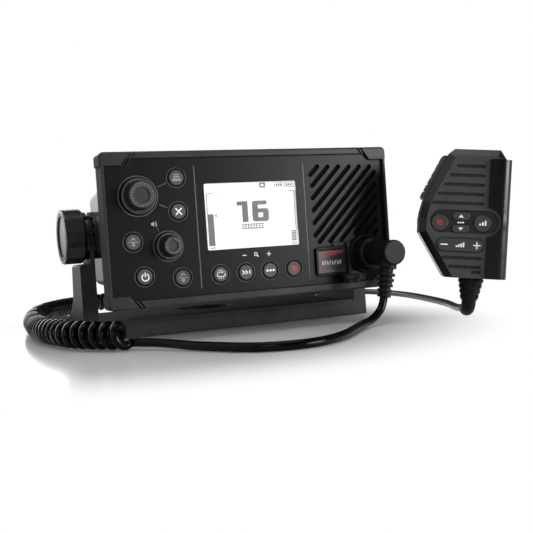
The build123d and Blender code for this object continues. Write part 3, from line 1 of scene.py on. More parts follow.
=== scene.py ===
import bpy
import bmesh
import json
import math
from mathutils import Matrix, Vector
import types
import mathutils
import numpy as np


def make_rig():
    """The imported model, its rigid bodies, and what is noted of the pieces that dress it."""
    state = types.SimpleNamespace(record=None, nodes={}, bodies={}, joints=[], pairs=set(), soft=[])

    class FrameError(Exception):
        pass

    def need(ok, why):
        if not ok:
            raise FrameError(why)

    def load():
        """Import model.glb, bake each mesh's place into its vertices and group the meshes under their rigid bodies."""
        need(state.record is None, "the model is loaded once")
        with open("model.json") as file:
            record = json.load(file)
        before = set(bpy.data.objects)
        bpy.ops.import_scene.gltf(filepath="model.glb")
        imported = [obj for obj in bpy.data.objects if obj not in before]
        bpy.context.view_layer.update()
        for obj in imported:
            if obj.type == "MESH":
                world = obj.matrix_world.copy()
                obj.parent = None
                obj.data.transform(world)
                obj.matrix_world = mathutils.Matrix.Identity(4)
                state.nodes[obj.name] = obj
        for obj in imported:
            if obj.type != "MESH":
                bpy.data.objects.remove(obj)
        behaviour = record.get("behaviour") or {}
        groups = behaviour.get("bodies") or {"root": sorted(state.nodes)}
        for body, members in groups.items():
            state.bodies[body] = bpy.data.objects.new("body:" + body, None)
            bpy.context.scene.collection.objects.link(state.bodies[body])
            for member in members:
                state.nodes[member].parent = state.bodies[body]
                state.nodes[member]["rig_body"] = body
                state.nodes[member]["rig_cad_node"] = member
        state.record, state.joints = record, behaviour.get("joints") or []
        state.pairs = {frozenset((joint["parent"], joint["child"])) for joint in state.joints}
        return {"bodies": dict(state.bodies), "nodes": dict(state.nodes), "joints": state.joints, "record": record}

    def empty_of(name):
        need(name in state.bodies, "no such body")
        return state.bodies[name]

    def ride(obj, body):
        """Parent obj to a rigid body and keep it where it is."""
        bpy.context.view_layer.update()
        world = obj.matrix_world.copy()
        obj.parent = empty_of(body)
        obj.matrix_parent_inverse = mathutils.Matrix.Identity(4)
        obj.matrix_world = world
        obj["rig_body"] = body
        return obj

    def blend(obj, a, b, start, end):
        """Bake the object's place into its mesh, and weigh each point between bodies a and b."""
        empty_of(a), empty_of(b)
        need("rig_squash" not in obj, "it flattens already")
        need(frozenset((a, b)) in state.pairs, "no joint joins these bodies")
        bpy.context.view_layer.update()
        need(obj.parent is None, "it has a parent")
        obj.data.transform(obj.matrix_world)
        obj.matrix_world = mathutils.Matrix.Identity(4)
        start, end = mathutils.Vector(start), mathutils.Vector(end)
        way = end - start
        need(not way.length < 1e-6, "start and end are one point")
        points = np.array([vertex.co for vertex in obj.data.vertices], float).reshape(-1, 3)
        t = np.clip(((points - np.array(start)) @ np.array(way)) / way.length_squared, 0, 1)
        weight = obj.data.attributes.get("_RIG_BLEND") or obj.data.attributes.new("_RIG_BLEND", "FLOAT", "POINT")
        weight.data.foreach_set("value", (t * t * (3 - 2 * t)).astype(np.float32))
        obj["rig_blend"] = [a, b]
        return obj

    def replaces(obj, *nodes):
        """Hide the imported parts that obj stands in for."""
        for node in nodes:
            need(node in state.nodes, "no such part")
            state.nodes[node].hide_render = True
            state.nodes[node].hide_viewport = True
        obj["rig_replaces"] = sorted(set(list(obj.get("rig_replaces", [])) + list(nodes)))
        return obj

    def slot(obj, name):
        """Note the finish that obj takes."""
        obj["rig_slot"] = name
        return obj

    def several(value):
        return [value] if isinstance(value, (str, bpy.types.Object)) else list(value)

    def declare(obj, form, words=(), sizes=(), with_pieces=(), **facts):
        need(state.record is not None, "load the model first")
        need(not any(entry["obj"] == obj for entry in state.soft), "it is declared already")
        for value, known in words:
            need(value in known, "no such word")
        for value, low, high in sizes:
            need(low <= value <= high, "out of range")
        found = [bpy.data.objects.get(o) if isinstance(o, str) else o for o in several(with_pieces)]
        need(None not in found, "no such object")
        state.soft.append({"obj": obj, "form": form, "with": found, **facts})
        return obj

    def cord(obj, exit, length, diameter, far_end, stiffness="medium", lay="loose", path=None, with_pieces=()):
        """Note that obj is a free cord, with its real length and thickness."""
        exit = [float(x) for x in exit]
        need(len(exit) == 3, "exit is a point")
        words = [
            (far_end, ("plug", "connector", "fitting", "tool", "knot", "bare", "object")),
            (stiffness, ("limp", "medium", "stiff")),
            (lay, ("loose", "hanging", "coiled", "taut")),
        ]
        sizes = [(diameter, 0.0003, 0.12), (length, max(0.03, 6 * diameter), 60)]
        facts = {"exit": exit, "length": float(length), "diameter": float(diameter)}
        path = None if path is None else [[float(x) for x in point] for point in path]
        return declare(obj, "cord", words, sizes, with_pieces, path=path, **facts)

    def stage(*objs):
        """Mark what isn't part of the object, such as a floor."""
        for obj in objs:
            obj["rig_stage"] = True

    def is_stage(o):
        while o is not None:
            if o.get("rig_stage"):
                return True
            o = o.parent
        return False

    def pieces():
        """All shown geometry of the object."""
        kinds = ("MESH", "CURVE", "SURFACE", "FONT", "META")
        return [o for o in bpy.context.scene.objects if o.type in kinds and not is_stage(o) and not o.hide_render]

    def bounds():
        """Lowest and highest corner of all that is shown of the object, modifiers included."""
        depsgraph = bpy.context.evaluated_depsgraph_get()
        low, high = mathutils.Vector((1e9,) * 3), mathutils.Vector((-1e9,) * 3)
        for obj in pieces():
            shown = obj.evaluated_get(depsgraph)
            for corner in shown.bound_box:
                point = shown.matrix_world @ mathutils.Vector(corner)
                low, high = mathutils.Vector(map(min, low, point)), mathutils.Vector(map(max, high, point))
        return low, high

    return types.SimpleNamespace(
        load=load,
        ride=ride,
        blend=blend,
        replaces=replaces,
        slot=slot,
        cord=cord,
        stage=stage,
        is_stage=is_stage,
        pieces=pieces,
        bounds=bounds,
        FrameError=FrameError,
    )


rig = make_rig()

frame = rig.load()
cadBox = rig.bounds()
scene = bpy.context.scene
nodes = frame["nodes"]
mm = 0.001
fasciaFoot = 21.0       # height of the fascia's lower edge above the floor
frameFront = -60.0      # Y of the frame's front


def putIn(name, data):
    # a new object at the origin, linked to the scene
    piece = bpy.data.objects.new(name, data)
    scene.collection.objects.link(piece)
    return piece


def closedMesh(build, name):
    # what was built as a mesh, with its faces turned outwards
    bmesh.ops.recalc_face_normals(build, faces=build.faces)
    mesh = bpy.data.meshes.new(name)
    build.to_mesh(mesh)
    build.free()
    return mesh


# place, lens and near limit in mm, turns in degrees
cameraSetup = {"place": (-204.9, -543.5, 53.6), "yaw": 23.42, "pitch": 1.46, "roll": -3.85,
               "lens": 57.41, "near": 10}


def makeCamera(setup):
    yaw, pitch, roll = (math.radians(setup[key]) for key in ("yaw", "pitch", "roll"))
    ahead = Vector((math.sin(yaw) * math.cos(pitch), math.cos(yaw) * math.cos(pitch), -math.sin(pitch)))
    level = Vector((math.cos(yaw), -math.sin(yaw), 0))
    above = level.cross(ahead)
    right = math.cos(roll) * level + math.sin(roll) * above
    up = math.cos(roll) * above - math.sin(roll) * level
    data = bpy.data.cameras.new("camera")
    data.lens = setup["lens"]
    data.clip_start = setup["near"] * mm
    camera = putIn("camera", data)
    turn = Matrix((right, up, -ahead)).transposed().to_4x4()
    camera.matrix_world = Matrix.Translation(Vector(setup["place"]) * mm) @ turn
    scene.camera = camera


makeCamera(cameraSetup)

cordSizes = {
    "diameter": 5.0,
    "coilRadius": 6.0,      # of the turns' centreline
    "coilPitch": 8.0,
    "coilRunIn": 4.5,       # the lead bends into its first turn over this length
    "coilStart": 310.0,     # where round the coil the front lead goes in, in degrees
    "pointsPerTurn": 12,
    "lead": (12, 5),        # steps between two points, and roundness
    "curly": (3, 3),
    "merge": 0.01,          # points closer than this become one
    "still": 9,             # from this point of its route on, the front lead stays on the floor
}
frontRoute = (
    (69.8, -88.8, 16.5), (68.59, -88.96, 11.03), (62.8, -91.5, 6.3), (55.8, -95.5, 3.5), (48.0, -101.4, 3.0),
    (37.5, -112.0, 2.5), (26.0, -125.5, 2.5), (13.5, -139.6, 2.5), (0.6, -150.5, 2.5), (-11.7, -156.9, 2.5),
    (-25.6, -157.5, 2.5), (-38.4, -152.2, 2.5), (-47.7, -142.0, 2.5), (-55.6, -127.5, 2.5),
    (-63.5, -111.5, 2.5), (-70.8, -97.0, 3.2), (-78.5, -86.2, 3.9), (-86.57, -76.01, 3.9),
)
coilRoute = (
    (-89.6, -78.4, 8.5), (-108.8, -54.1, 8.5), (-119.5, -12.0, 8.5), (-121.0, 45.0, 8.5),
    (-114.0, 113.0, 8.5), (-98.0, 186.0, 8.5), (-72.0, 248.0, 8.5), (-32.0, 290.0, 8.5),
    (20.0, 302.3, 8.5), (70.0, 285.0, 8.5),
)
rearRoute = (
    (122.82, -100.13, 4.825), (126.62, -92.01, 4.825), (132.3, -80.5, 3.6), (143.0, -60.5, 2.5),
    (158.5, -31.0, 2.5), (179.0, 25.0, 2.5), (198.0, 86.0, 2.5), (207.0, 145.0, 2.5), (201.0, 198.0, 2.5),
    (172.0, 240.0, 2.5), (125.0, 266.0, 2.5), (70.0, 285.0, 2.5),
)


def makeCurve(name, points, radius, resolution=10):
    # points in metres; the order is set after them, because before them it would stay at straight runs
    data = bpy.data.curves.new(name, "CURVE")
    data.dimensions = "3D"
    data.bevel_depth = radius
    data.use_fill_caps = True
    spline = data.splines.new("NURBS")
    spline.points.add(len(points) - 1)
    for knot, point in zip(spline.points, points):
        knot.co = (*point, 1)
    spline.order_u = 3
    spline.use_endpoint_u = True
    spline.resolution_u = resolution
    return putIn(name, data)


def lineOf(points, resolution=10):
    # the smooth line through a route's spline
    bare = makeCurve("bare", points, 0, resolution)
    mesh = bpy.data.meshes.new_from_object(bare)
    line = [vertex.co.copy() for vertex in mesh.vertices]
    data = bare.data
    bpy.data.objects.remove(bare)
    bpy.data.curves.remove(data)
    bpy.data.meshes.remove(mesh)
    return line


def spacedAlong(line, step):
    # points a step apart along a line, with the direction at each
    places, carried = [], 0.0
    for first, second in zip(line, line[1:]):
        run = (second - first).length
        heading = (second - first).normalized()
        at = -carried % step if places else 0.0
        while at < run:
            places.append((first + heading * at, heading))
            at += step
        carried = (carried + run) % step
    return places


def metres(route):
    return [Vector(point) * mm for point in route]


def helixPoints():
    step = cordSizes["coilPitch"] / cordSizes["pointsPerTurn"] * mm
    places = spacedAlong(lineOf(metres(coilRoute)), step)
    points, angle = [], math.radians(cordSizes["coilStart"])
    perStep = 2 * math.pi / cordSizes["pointsPerTurn"]
    runIn = cordSizes["coilRunIn"] * mm
    for index, (place, heading) in enumerate(places):
        side = heading.cross(Vector((0, 0, 1))).normalized()
        offset = side * math.cos(angle) + Vector((0, 0, 1)) * math.sin(angle)
        points.append(place + offset * cordSizes["coilRadius"] * mm)
        fromEnd = min(index, len(places) - 1 - index) * step
        share = min(fromEnd / runIn, 1.0)
        angle -= perStep * share * share * (3 - 2 * share)
    return points


def lengthOf(line):
    return sum((second - first).length for first, second in zip(line, line[1:]))


def makeTube(name, points, detail):
    # the bevelled spline as a closed mesh, and the line that it follows
    resolution, roundness = detail
    drawn = makeCurve(name + "Drawn", points, cordSizes["diameter"] / 2 * mm, resolution)
    drawn.data.bevel_resolution = roundness
    mesh = bpy.data.meshes.new_from_object(drawn)
    mesh.name = name
    bpy.data.objects.remove(drawn)
    build = bmesh.new()
    build.from_mesh(mesh)
    bmesh.ops.remove_doubles(build, verts=build.verts, dist=cordSizes["merge"] * mm)
    bmesh.ops.recalc_face_normals(build, faces=build.faces)
    build.to_mesh(mesh)
    build.free()
    for polygon in mesh.polygons:
        polygon.use_smooth = True
    return putIn(name, mesh), lineOf(points, resolution)


def makeCords():
    wide = cordSizes["diameter"] * mm
    route, rearPoints = metres(frontRoute), metres(rearRoute)
    front, frontLine = makeTube("frontLead", route, cordSizes["lead"])
    coil, coilLine = makeTube("curlyCord", helixPoints(), cordSizes["curly"])
    rear, rearLine = makeTube("rearLead", rearPoints, cordSizes["lead"])
    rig.blend(front, "radio", "bracket", start=route[0], end=route[cordSizes["still"]])
    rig.ride(coil, "bracket")
    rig.ride(rear, "bracket")
    for piece, node in ((front, "cord_front_lead"), (coil, "cord_coil"), (rear, "cord_rear_lead")):
        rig.replaces(piece, node)
        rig.slot(piece, "rubber_black")
    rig.cord(front, exit=route[0], length=round(lengthOf(frontLine), 3), diameter=wide, far_end="object",
            stiffness="medium", lay="loose", path=frontLine,
            with_pieces=[nodes["plug_boot"], nodes["plug_head"], nodes["plug_ring"]])
    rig.cord(coil, exit=route[-1], length=round(lengthOf(coilLine), 3), diameter=wide, far_end="object",
            stiffness="medium", lay="coiled", path=coilLine)
    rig.cord(rear, exit=rearPoints[0], length=round(lengthOf(rearLine), 3), diameter=wide, far_end="object",
            stiffness="medium", lay="loose", path=rearLine, with_pieces=[nodes["mic_boot"]])
    return front, coil, rear


cords = makeCords()
print("cords laid")


class NodeSet:
    # a small helper that keeps the building of a node tree readable
    def __init__(self, tree):
        self.tree = tree

    def add(self, kind, values=None, **settings):
        node = self.tree.nodes.new("ShaderNode" + kind)
        for key, value in settings.items():
            setattr(node, key, value)
        for key, value in (values or {}).items():
            node.inputs[key].default_value = value
        return node

    def link(self, source, target):
        self.tree.links.new(source, target)

    def noise(self, scale, detail=3.0, roughness=0.55, stretch=None):
        place = self.add("TexCoord").outputs["Object"]
        if stretch:
            mapping = self.add("Mapping", {"Scale": stretch})
            self.link(place, mapping.inputs["Vector"])
            place = mapping.outputs["Vector"]
        texture = self.add("TexNoise", {"Scale": scale, "Detail": detail, "Roughness": roughness})
        self.link(place, texture.inputs["Vector"])
        return texture.outputs["Fac"]

    def mapped(self, source, low, high, start=0.0, end=1.0, way="LINEAR"):
        limits = {"From Min": low, "From Max": high, "To Min": start, "To Max": end}
        ranged = self.add("MapRange", limits, interpolation_type=way)
        self.link(source, ranged.inputs["Value"])
        return ranged.outputs["Result"]

    def math(self, operation, first, second):
        node = self.add("Math", operation=operation)
        self.link(first, node.inputs[0])
        self.link(second, node.inputs[1])
        return node.outputs["Value"]

    def mix(self, factor, first, second):
        mixer = self.add("Mix", data_type="RGBA")
        self.link(factor, mixer.inputs["Factor"])
        for value, socket in ((first, mixer.inputs["A"]), (second, mixer.inputs["B"])):
            if isinstance(value, (tuple, list)):
                socket.default_value = (*value, 1)
            else:
                self.link(value, socket)
        return mixer.outputs["Result"]

    def mixValue(self, factor, first, second):
        mixer = self.add("Mix")
        self.link(factor, mixer.inputs["Factor"])
        for value, socket in ((first, mixer.inputs["A"]), (second, mixer.inputs["B"])):
            if isinstance(value, float):
                socket.default_value = value
            else:
                self.link(value, socket)
        return mixer.outputs["Result"]


class Shader(NodeSet):
    # the nodes of one new material
    def __init__(self, name):
        self.material = bpy.data.materials.new(name)
        self.material.use_nodes = True
        super().__init__(self.material.node_tree)
        self.surface = self.tree.nodes["Principled BSDF"]
        self.output = self.tree.nodes["Material Output"]


def grey(level):
    # a plain grey by its screen level from 0 to 255
    linear = ((level / 255 + 0.055) / 1.055) ** 2.4 if level > 10 else level / 255 / 12.92
    return linear, linear, linear


def shaded(colour, share):
    return tuple(channel * share for channel in colour)


# what all moulded finishes share: the cloudiness, the spread of their roughness, the painted highlight
# on edges and the painted shade in crevices
mouldedLook = {"cloudScale": 90.0, "cloudDetail": 4.0, "smoother": 0.05, "rougher": 0.06, "edgeGain": 2.2,
               "edgeLift": 0.012, "creviceShadeShare": 0.1, "creviceRoughness": 0.9, "step": 0.1, "bump": 0.6}


def moulded(name, colour, roughness, grain=0.35, depth=0.03, mottle=0.18, edge=0.4, edgeRadius=0.45,
            specular=0.5, crevice=1.6, turned=None, sunken=None):
    # moulded plastic, rubber or coated metal: fine grain, faint cloudiness, edges lightened as a painted highlight
    # and crevices dulled and darkened as painted shade. Sizes in mm. With turned, the faces that look its way get
    # its colour and roughness. With sunken, what lies below its level, measured along its way, gets its colour.
    look = mouldedLook
    shader = Shader(name)
    surface = shader.surface
    surface.inputs["Specular IOR Level"].default_value = specular
    cloud = shader.noise(look["cloudScale"], look["cloudDetail"])
    fine = shader.noise(1000.0 / grain, 2.0, 0.7)
    tone = shader.mapped(cloud, 0.3, 0.7, 0.0, 1.0)
    base = shader.mix(tone, shaded(colour, 1 - mottle), shaded(colour, 1 + mottle))
    rounded = shader.add("Bevel", {"Radius": edgeRadius * mm}, samples=4)
    face = shader.add("NewGeometry")
    coarse = shader.mapped(fine, 0.3, 0.7, roughness - look["smoother"], roughness + look["rougher"])
    if turned:
        looking = shader.add("VectorMath", {1: turned["way"]}, operation="DOT_PRODUCT")
        shader.link(face.outputs["True Normal"], looking.inputs[0])
        share = shader.mapped(looking.outputs["Value"], turned["from"], turned["to"])
        base = shader.mix(share, base, turned["colour"])
        coarse = shader.mixValue(share, coarse, turned["roughness"])
    facing = shader.add("VectorMath", operation="DOT_PRODUCT")
    shader.link(rounded.outputs["Normal"], facing.inputs[0])
    shader.link(face.outputs["True Normal"], facing.inputs[1])
    # painted highlight: edges get a lighter colour
    edgeHighlight = shader.mapped(facing.outputs["Value"], 0.995, 0.8, 0.0, edge)
    lighter = tuple(min(1.0, channel * look["edgeGain"] + look["edgeLift"]) for channel in colour)
    if sunken:
        level = shader.add("VectorMath", {1: sunken["way"]}, operation="DOT_PRODUCT")
        shader.link(shader.add("TexCoord").outputs["Object"], level.inputs[0])
        low, high = ((sunken["level"] + step) * mm for step in (-look["step"], look["step"]))
        above = shader.mapped(level.outputs["Value"], low, high)
        base = shader.mix(above, sunken["colour"], base)
    # painted shade: crevices get a darker colour and more roughness
    hollow = shader.add("AmbientOcclusion", {"Distance": crevice * mm}, samples=6)
    free = shader.mapped(hollow.outputs["AO"], 0.4, 0.85)
    dark = shaded(colour, look["creviceShadeShare"])
    shader.link(shader.mix(free, dark, shader.mix(edgeHighlight, base, lighter)), surface.inputs["Base Color"])
    coarse = shader.mixValue(free, look["creviceRoughness"], coarse)
    shader.link(coarse, surface.inputs["Roughness"])
    bump = shader.add("Bump", {"Strength": look["bump"], "Distance": depth * mm})
    shader.link(fine, bump.inputs["Height"])
    shader.link(rounded.outputs["Normal"], bump.inputs["Normal"])
    shader.link(bump.outputs["Normal"], surface.inputs["Normal"])
    return shader.material


def printAndShadeFilm(name, colour, roughness=0.5, wear=0.12):
    # a flat film that is a little uneven: screen print, and the painted shade of grooves
    shader = Shader(name)
    patchy = shader.mapped(shader.noise(1400.0, 3.0), 0.35, 0.75)
    shader.link(shader.mix(patchy, colour, shaded(colour, 1 - wear)), shader.surface.inputs["Base Color"])
    shader.link(shader.mapped(patchy, 0.0, 1.0, roughness, roughness + 0.12),
                shader.surface.inputs["Roughness"])
    return shader.material


def metal(name, colour, roughness, brush, scale=700.0):
    # plated or bare metal with fine turning marks, drawn out by brush
    shader = Shader(name)
    shader.surface.inputs["Metallic"].default_value = 1.0
    streaks = shader.noise(scale, 3.0, 0.6, brush)
    shader.link(shader.mix(shader.mapped(streaks, 0.3, 0.7), shaded(colour, 0.82), colour),
                shader.surface.inputs["Base Color"])
    shader.link(shader.mapped(streaks, 0.3, 0.7, roughness - 0.06, roughness + 0.1),
                shader.surface.inputs["Roughness"])
    bump = shader.add("Bump", {"Strength": 0.25, "Distance": 0.02 * mm})
    shader.link(streaks, bump.inputs["Height"])
    shader.link(bump.outputs["Normal"], shader.surface.inputs["Normal"])
    return shader.material


def windowGlass(name):
    # clear glass with faint smears in its gloss
    shader = Shader(name)
    surface = shader.surface
    surface.inputs["Base Color"].default_value = (0.97, 0.98, 0.98, 1)
    surface.inputs["Transmission Weight"].default_value = 1.0
    surface.inputs["IOR"].default_value = 1.47
    smear = shader.noise(60.0, 3.0)
    shader.link(shader.mapped(smear, 0.3, 0.8, 0.02, 0.07), surface.inputs["Roughness"])
    return shader.material


def screenPaper(name, colour, strength):
    # the lit display: even white light from behind, with the faint cell grid of a dot display
    shader = Shader(name)
    surface = shader.surface
    surface.inputs["Roughness"].default_value = 0.5
    place = shader.add("TexCoord").outputs["Object"]
    grid = shader.add("TexWave", {"Scale": 640.0, "Distortion": 0.0}, bands_direction="X")
    shader.link(place, grid.inputs["Vector"])
    cells = shader.mapped(grid.outputs["Fac"], 0.0, 1.0)
    shader.link(shader.mix(cells, colour, shaded(colour, 0.97)), surface.inputs["Base Color"])
    shader.link(shader.mix(cells, (1.0, 1.0, 1.0), (0.985, 0.985, 0.985)), surface.inputs["Emission Color"])
    surface.inputs["Emission Strength"].default_value = strength
    return shader.material


def circuitBoard(name):
    # green board with lighter tracks
    shader = Shader(name)
    lines = shader.add("TexBrick", {"Scale": 220.0, "Mortar Size": 0.03})
    shader.link(shader.add("TexCoord").outputs["Object"], lines.inputs["Vector"])
    shader.link(shader.mix(lines.outputs["Fac"], (0.012, 0.07, 0.03), (0.05, 0.16, 0.06)),
                shader.surface.inputs["Base Color"])
    shader.surface.inputs["Roughness"].default_value = 0.4
    return shader.material


finishes = {
    # painted shade: the frame's faces that look left get a darker grey and more roughness
    "frameSatin": moulded("frameSatin", grey(43), 0.38, grain=0.28, depth=0.03, edge=0.12, specular=0.15,
                          turned={"way": (-1, 0, 0), "from": 0.8, "to": 0.95, "colour": grey(26),
                                  "roughness": 0.75}),
    "panelMatt": moulded("panelMatt", grey(11), 0.34, grain=0.22, depth=0.012, mottle=0.1, edge=0.6,
                         edgeRadius=0.3, specular=0.13),
    "keyRubber": moulded("keyRubber", grey(64), 0.55, grain=0.2, depth=0.015, edge=0.25, edgeRadius=0.25,
                         specular=0.35),
    "knobRubber": moulded("knobRubber", grey(20), 0.34, grain=0.22, depth=0.012, edge=0.9, edgeRadius=0.35),
    "flapPlastic": moulded("flapPlastic", grey(30), 0.36, grain=0.25, depth=0.02, edge=0.5, edgeRadius=0.25),
    "trimLight": moulded("trimLight", grey(98), 0.45, grain=0.2, depth=0.01, edge=0.1, edgeRadius=0.1,
                         crevice=0.1),
    "trimLine": moulded("trimLine", grey(76), 0.45, grain=0.2, depth=0.01, edge=0.1, edgeRadius=0.1),
    "slotCloth": moulded("slotCloth", grey(12), 0.85, grain=0.5, depth=0.12, mottle=0.3, edge=0.0,
                         specular=0.1),
    "housingCoat": moulded("housingCoat", grey(44), 0.42, grain=0.5, depth=0.05, edge=0.5, edgeRadius=0.6),
    # painted shade: the bracket's faces that look up get a near black colour, as the shade under the radio
    "bracketGrain": moulded("bracketGrain", grey(44), 0.5, grain=0.45, depth=0.05, edge=0.5, edgeRadius=0.6,
                            specular=0.1,
                            turned={"way": (0, 0, 1), "from": 0.8, "to": 0.95, "colour": grey(5),
                                    "roughness": 0.85}),
    "clampPlastic": moulded("clampPlastic", grey(32), 0.34, grain=0.3, depth=0.012, edge=0.6,
                            edgeRadius=0.35),
    "softRubber": moulded("softRubber", grey(12), 0.5, grain=0.3, depth=0.03, edge=0.4, edgeRadius=0.4,
                          specular=0.35),
    "plugRubber": moulded("plugRubber", grey(16), 0.42, grain=0.3, depth=0.012, edge=0.5, edgeRadius=0.35,
                          specular=0.1),
    "cordRubber": moulded("cordRubber", grey(4), 0.2, grain=0.6, depth=0.004, mottle=0.25, edge=0.0,
                          specular=0.09),
    "micGrain": moulded("micGrain", grey(54), 0.46, grain=0.3, depth=0.006, edge=0.4, edgeRadius=0.35,
                        specular=0.3,
                        turned={"way": (0.5, 0.866, 0), "from": -0.99, "to": -0.97, "colour": grey(5),
                                "roughness": 0.24},
                        sunken={"way": (-0.5, -0.866, 0), "level": 43.7, "colour": grey(16)}),
    "micGloss": moulded("micGloss", grey(5), 0.28, grain=14.0, depth=0.001, mottle=0.0, edge=0.0,
                        edgeRadius=0.12, specular=0.2),
    "micSlot": moulded("micSlot", grey(40), 0.6, grain=0.3, depth=0.03, edge=0.0, specular=0.2, crevice=0.2),
    "micKey": moulded("micKey", grey(36), 0.42, grain=0.2, depth=0.015, edge=0.4, edgeRadius=0.3),
    "speakerCone": moulded("speakerCone", grey(12), 0.8, grain=0.5, depth=0.05, edge=0.0),
    "whiteInk": printAndShadeFilm("whiteInk", grey(235)),
    "redInk": printAndShadeFilm("redInk", (0.42, 0.012, 0.018)),
    "greyInk": printAndShadeFilm("greyInk", grey(165)),
    "shadowGap": printAndShadeFilm("shadowGap", grey(4), 0.9),
    "nickel": metal("nickel", (0.62, 0.6, 0.56), 0.25, (1, 1, 6)),
    "steel": metal("steel", (0.55, 0.55, 0.56), 0.32, (1, 1, 4)),
    "displayGlass": windowGlass("displayGlass"),
    "displayLit": screenPaper("displayLit", (0.3, 0.3, 0.3), 0.92),
    "displayDark": screenPaper("displayDark", grey(60), 0.17),
    "board": circuitBoard("board"),
}

nodeFinish = {
    "frameSatin": ["bezel_frame"],
    "panelMatt": ["fascia_panel", "lcd_module"],
    "keyRubber": [name for name in nodes if name.startswith("key_")] + ["distress_key", "keypad_mat"],
    "knobRubber": ["channel_knob", "volume_knob"],
    "flapPlastic": ["distress_flap"],
    "housingCoat": ["rear_housing"],
    "bracketGrain": ["bracket"],
    "clampPlastic": ["clamp_knob_left", "clamp_knob_right"],
    "softRubber": ["dust_cap", "fascia_gasket", "friction_washers", "power_gland"],
    "plugRubber": ["mic_socket", "plug_ring", "plug_head", "plug_boot", "mic_boot", "data_socket",
                   "gps_socket"],
    "micGrain": ["mic_front_shell", "mic_rear_shell"],
    "micGloss": ["mic_spine"],
    "micKey": ["mic_ptt", "mic_rocker"] + [name for name in nodes if name.startswith("mic_key_")],
    "speakerCone": ["speaker_driver"],
    "nickel": ["antenna_socket"],
    "steel": ["housing_screws", "mic_screws", "mic_hanger", "clamp_stud_left", "clamp_stud_right",
              "channel_shaft", "volume_shaft", "channel_encoder", "volume_encoder"],
    "displayGlass": ["lcd_lens"],
    "board": ["front_board", "main_board", "mic_board"],
}


def setFinish(piece, finish):
    piece.data.materials.clear()
    piece.data.materials.append(finishes[finish])


for finish, names in nodeFinish.items():
    for name in names:
        setFinish(nodes[name], finish)
for piece in cords:
    setFinish(piece, "cordRubber")
print("finishes given to the solids")


# a flat mark is a list of outlines in mm; each outline is a row of corners, across and up
def bar(left, low, right, high):
    return [[(left, low), (right, low), (right, high), (left, high)]]


def disc(x, z, radius, sides=28):
    turns = [2 * math.pi * index / sides for index in range(sides)]
    return [[(x + math.cos(turn) * radius, z + math.sin(turn) * radius) for turn in turns]]


def arc(x, z, radius, width, start=0.0, end=360.0, sides=40):
    # a ring or part of one, as a row of four-cornered pieces
    shapes = []
    count = max(3, round(sides * (end - start) / 360))
    for index in range(count):
        first = math.radians(start + (end - start) * index / count)
        second = math.radians(start + (end - start) * (index + 1) / count)
        inner, outer = radius - width / 2, radius + width / 2
        shapes.append([(x + math.cos(first) * inner, z + math.sin(first) * inner),
                       (x + math.cos(first) * outer, z + math.sin(first) * outer),
                       (x + math.cos(second) * outer, z + math.sin(second) * outer),
                       (x + math.cos(second) * inner, z + math.sin(second) * inner)])
    return shapes


def stroke(points, width):
    # a line with square ends and mitred corners
    shapes = []
    sides = []
    for index, point in enumerate(points):
        here = Vector(point)
        before = Vector(points[index - 1]) if index else None
        after = Vector(points[index + 1]) if index < len(points) - 1 else None
        first = (here - before).normalized() if before else (after - here).normalized()
        second = (after - here).normalized() if after else first
        across = Vector((-(first.y + second.y), first.x + second.x)).normalized()
        reach = width / 2 / max(0.3, across.dot(Vector((-first.y, first.x))))
        sides.append((here + across * reach, here - across * reach))
    for (firstLeft, firstRight), (secondLeft, secondRight) in zip(sides, sides[1:]):
        shapes.append([tuple(firstRight), tuple(secondRight), tuple(secondLeft), tuple(firstLeft)])
    return shapes


def moved(shapes, x, z):
    return [[(x + a, z + b) for a, b in shape] for shape in shapes]


def frontPlace(y):
    # marks on the fascia: X, and height above its lower edge
    return lambda a, b, h: Vector((a, y - h, fasciaFoot + b)) * mm


micAxes = {"foot": (119.9, -105.1, 0.0), "turn": 30.0, "lean": 6.4}
micFaces = {"front": 13.0, "key": 13.2, "rocker": 14.0, "recess": 12.2}     # distances in front of its middle


def micPlace(level):
    # marks on the microphone: across and up in its own leaning plane, level in front of its middle
    turn, lean = math.radians(micAxes["turn"]), math.radians(micAxes["lean"])
    right = Vector((math.cos(turn) * math.cos(lean), -math.sin(turn) * math.cos(lean), -math.sin(lean)))
    out = Vector((-math.sin(turn), -math.cos(turn), 0))
    up = out.cross(right)
    foot = Vector(micAxes["foot"])
    return lambda a, b, h: (foot + right * a + up * b + out * (level + h)) * mm


thinFilm = 0.03         # how far the thinnest marks stand proud


def makeMarks(name, shapes, place, finish, body, stand=0.06, sink=0.05):
    # each shape becomes a thin closed plate that stands a hair proud of its surface
    build = bmesh.new()
    for shape in shapes:
        top = [build.verts.new(place(a, b, stand)) for a, b in shape]
        bottom = [build.verts.new(place(a, b, -sink)) for a, b in shape]
        build.faces.new(top)
        build.faces.new(list(reversed(bottom)))
        for index in range(len(shape)):
            after = (index + 1) % len(shape)
            build.faces.new((top[index], bottom[index], bottom[after], top[after]))
    piece = putIn(name, closedMesh(build, name))
    setFinish(piece, finish)
    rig.ride(piece, body)


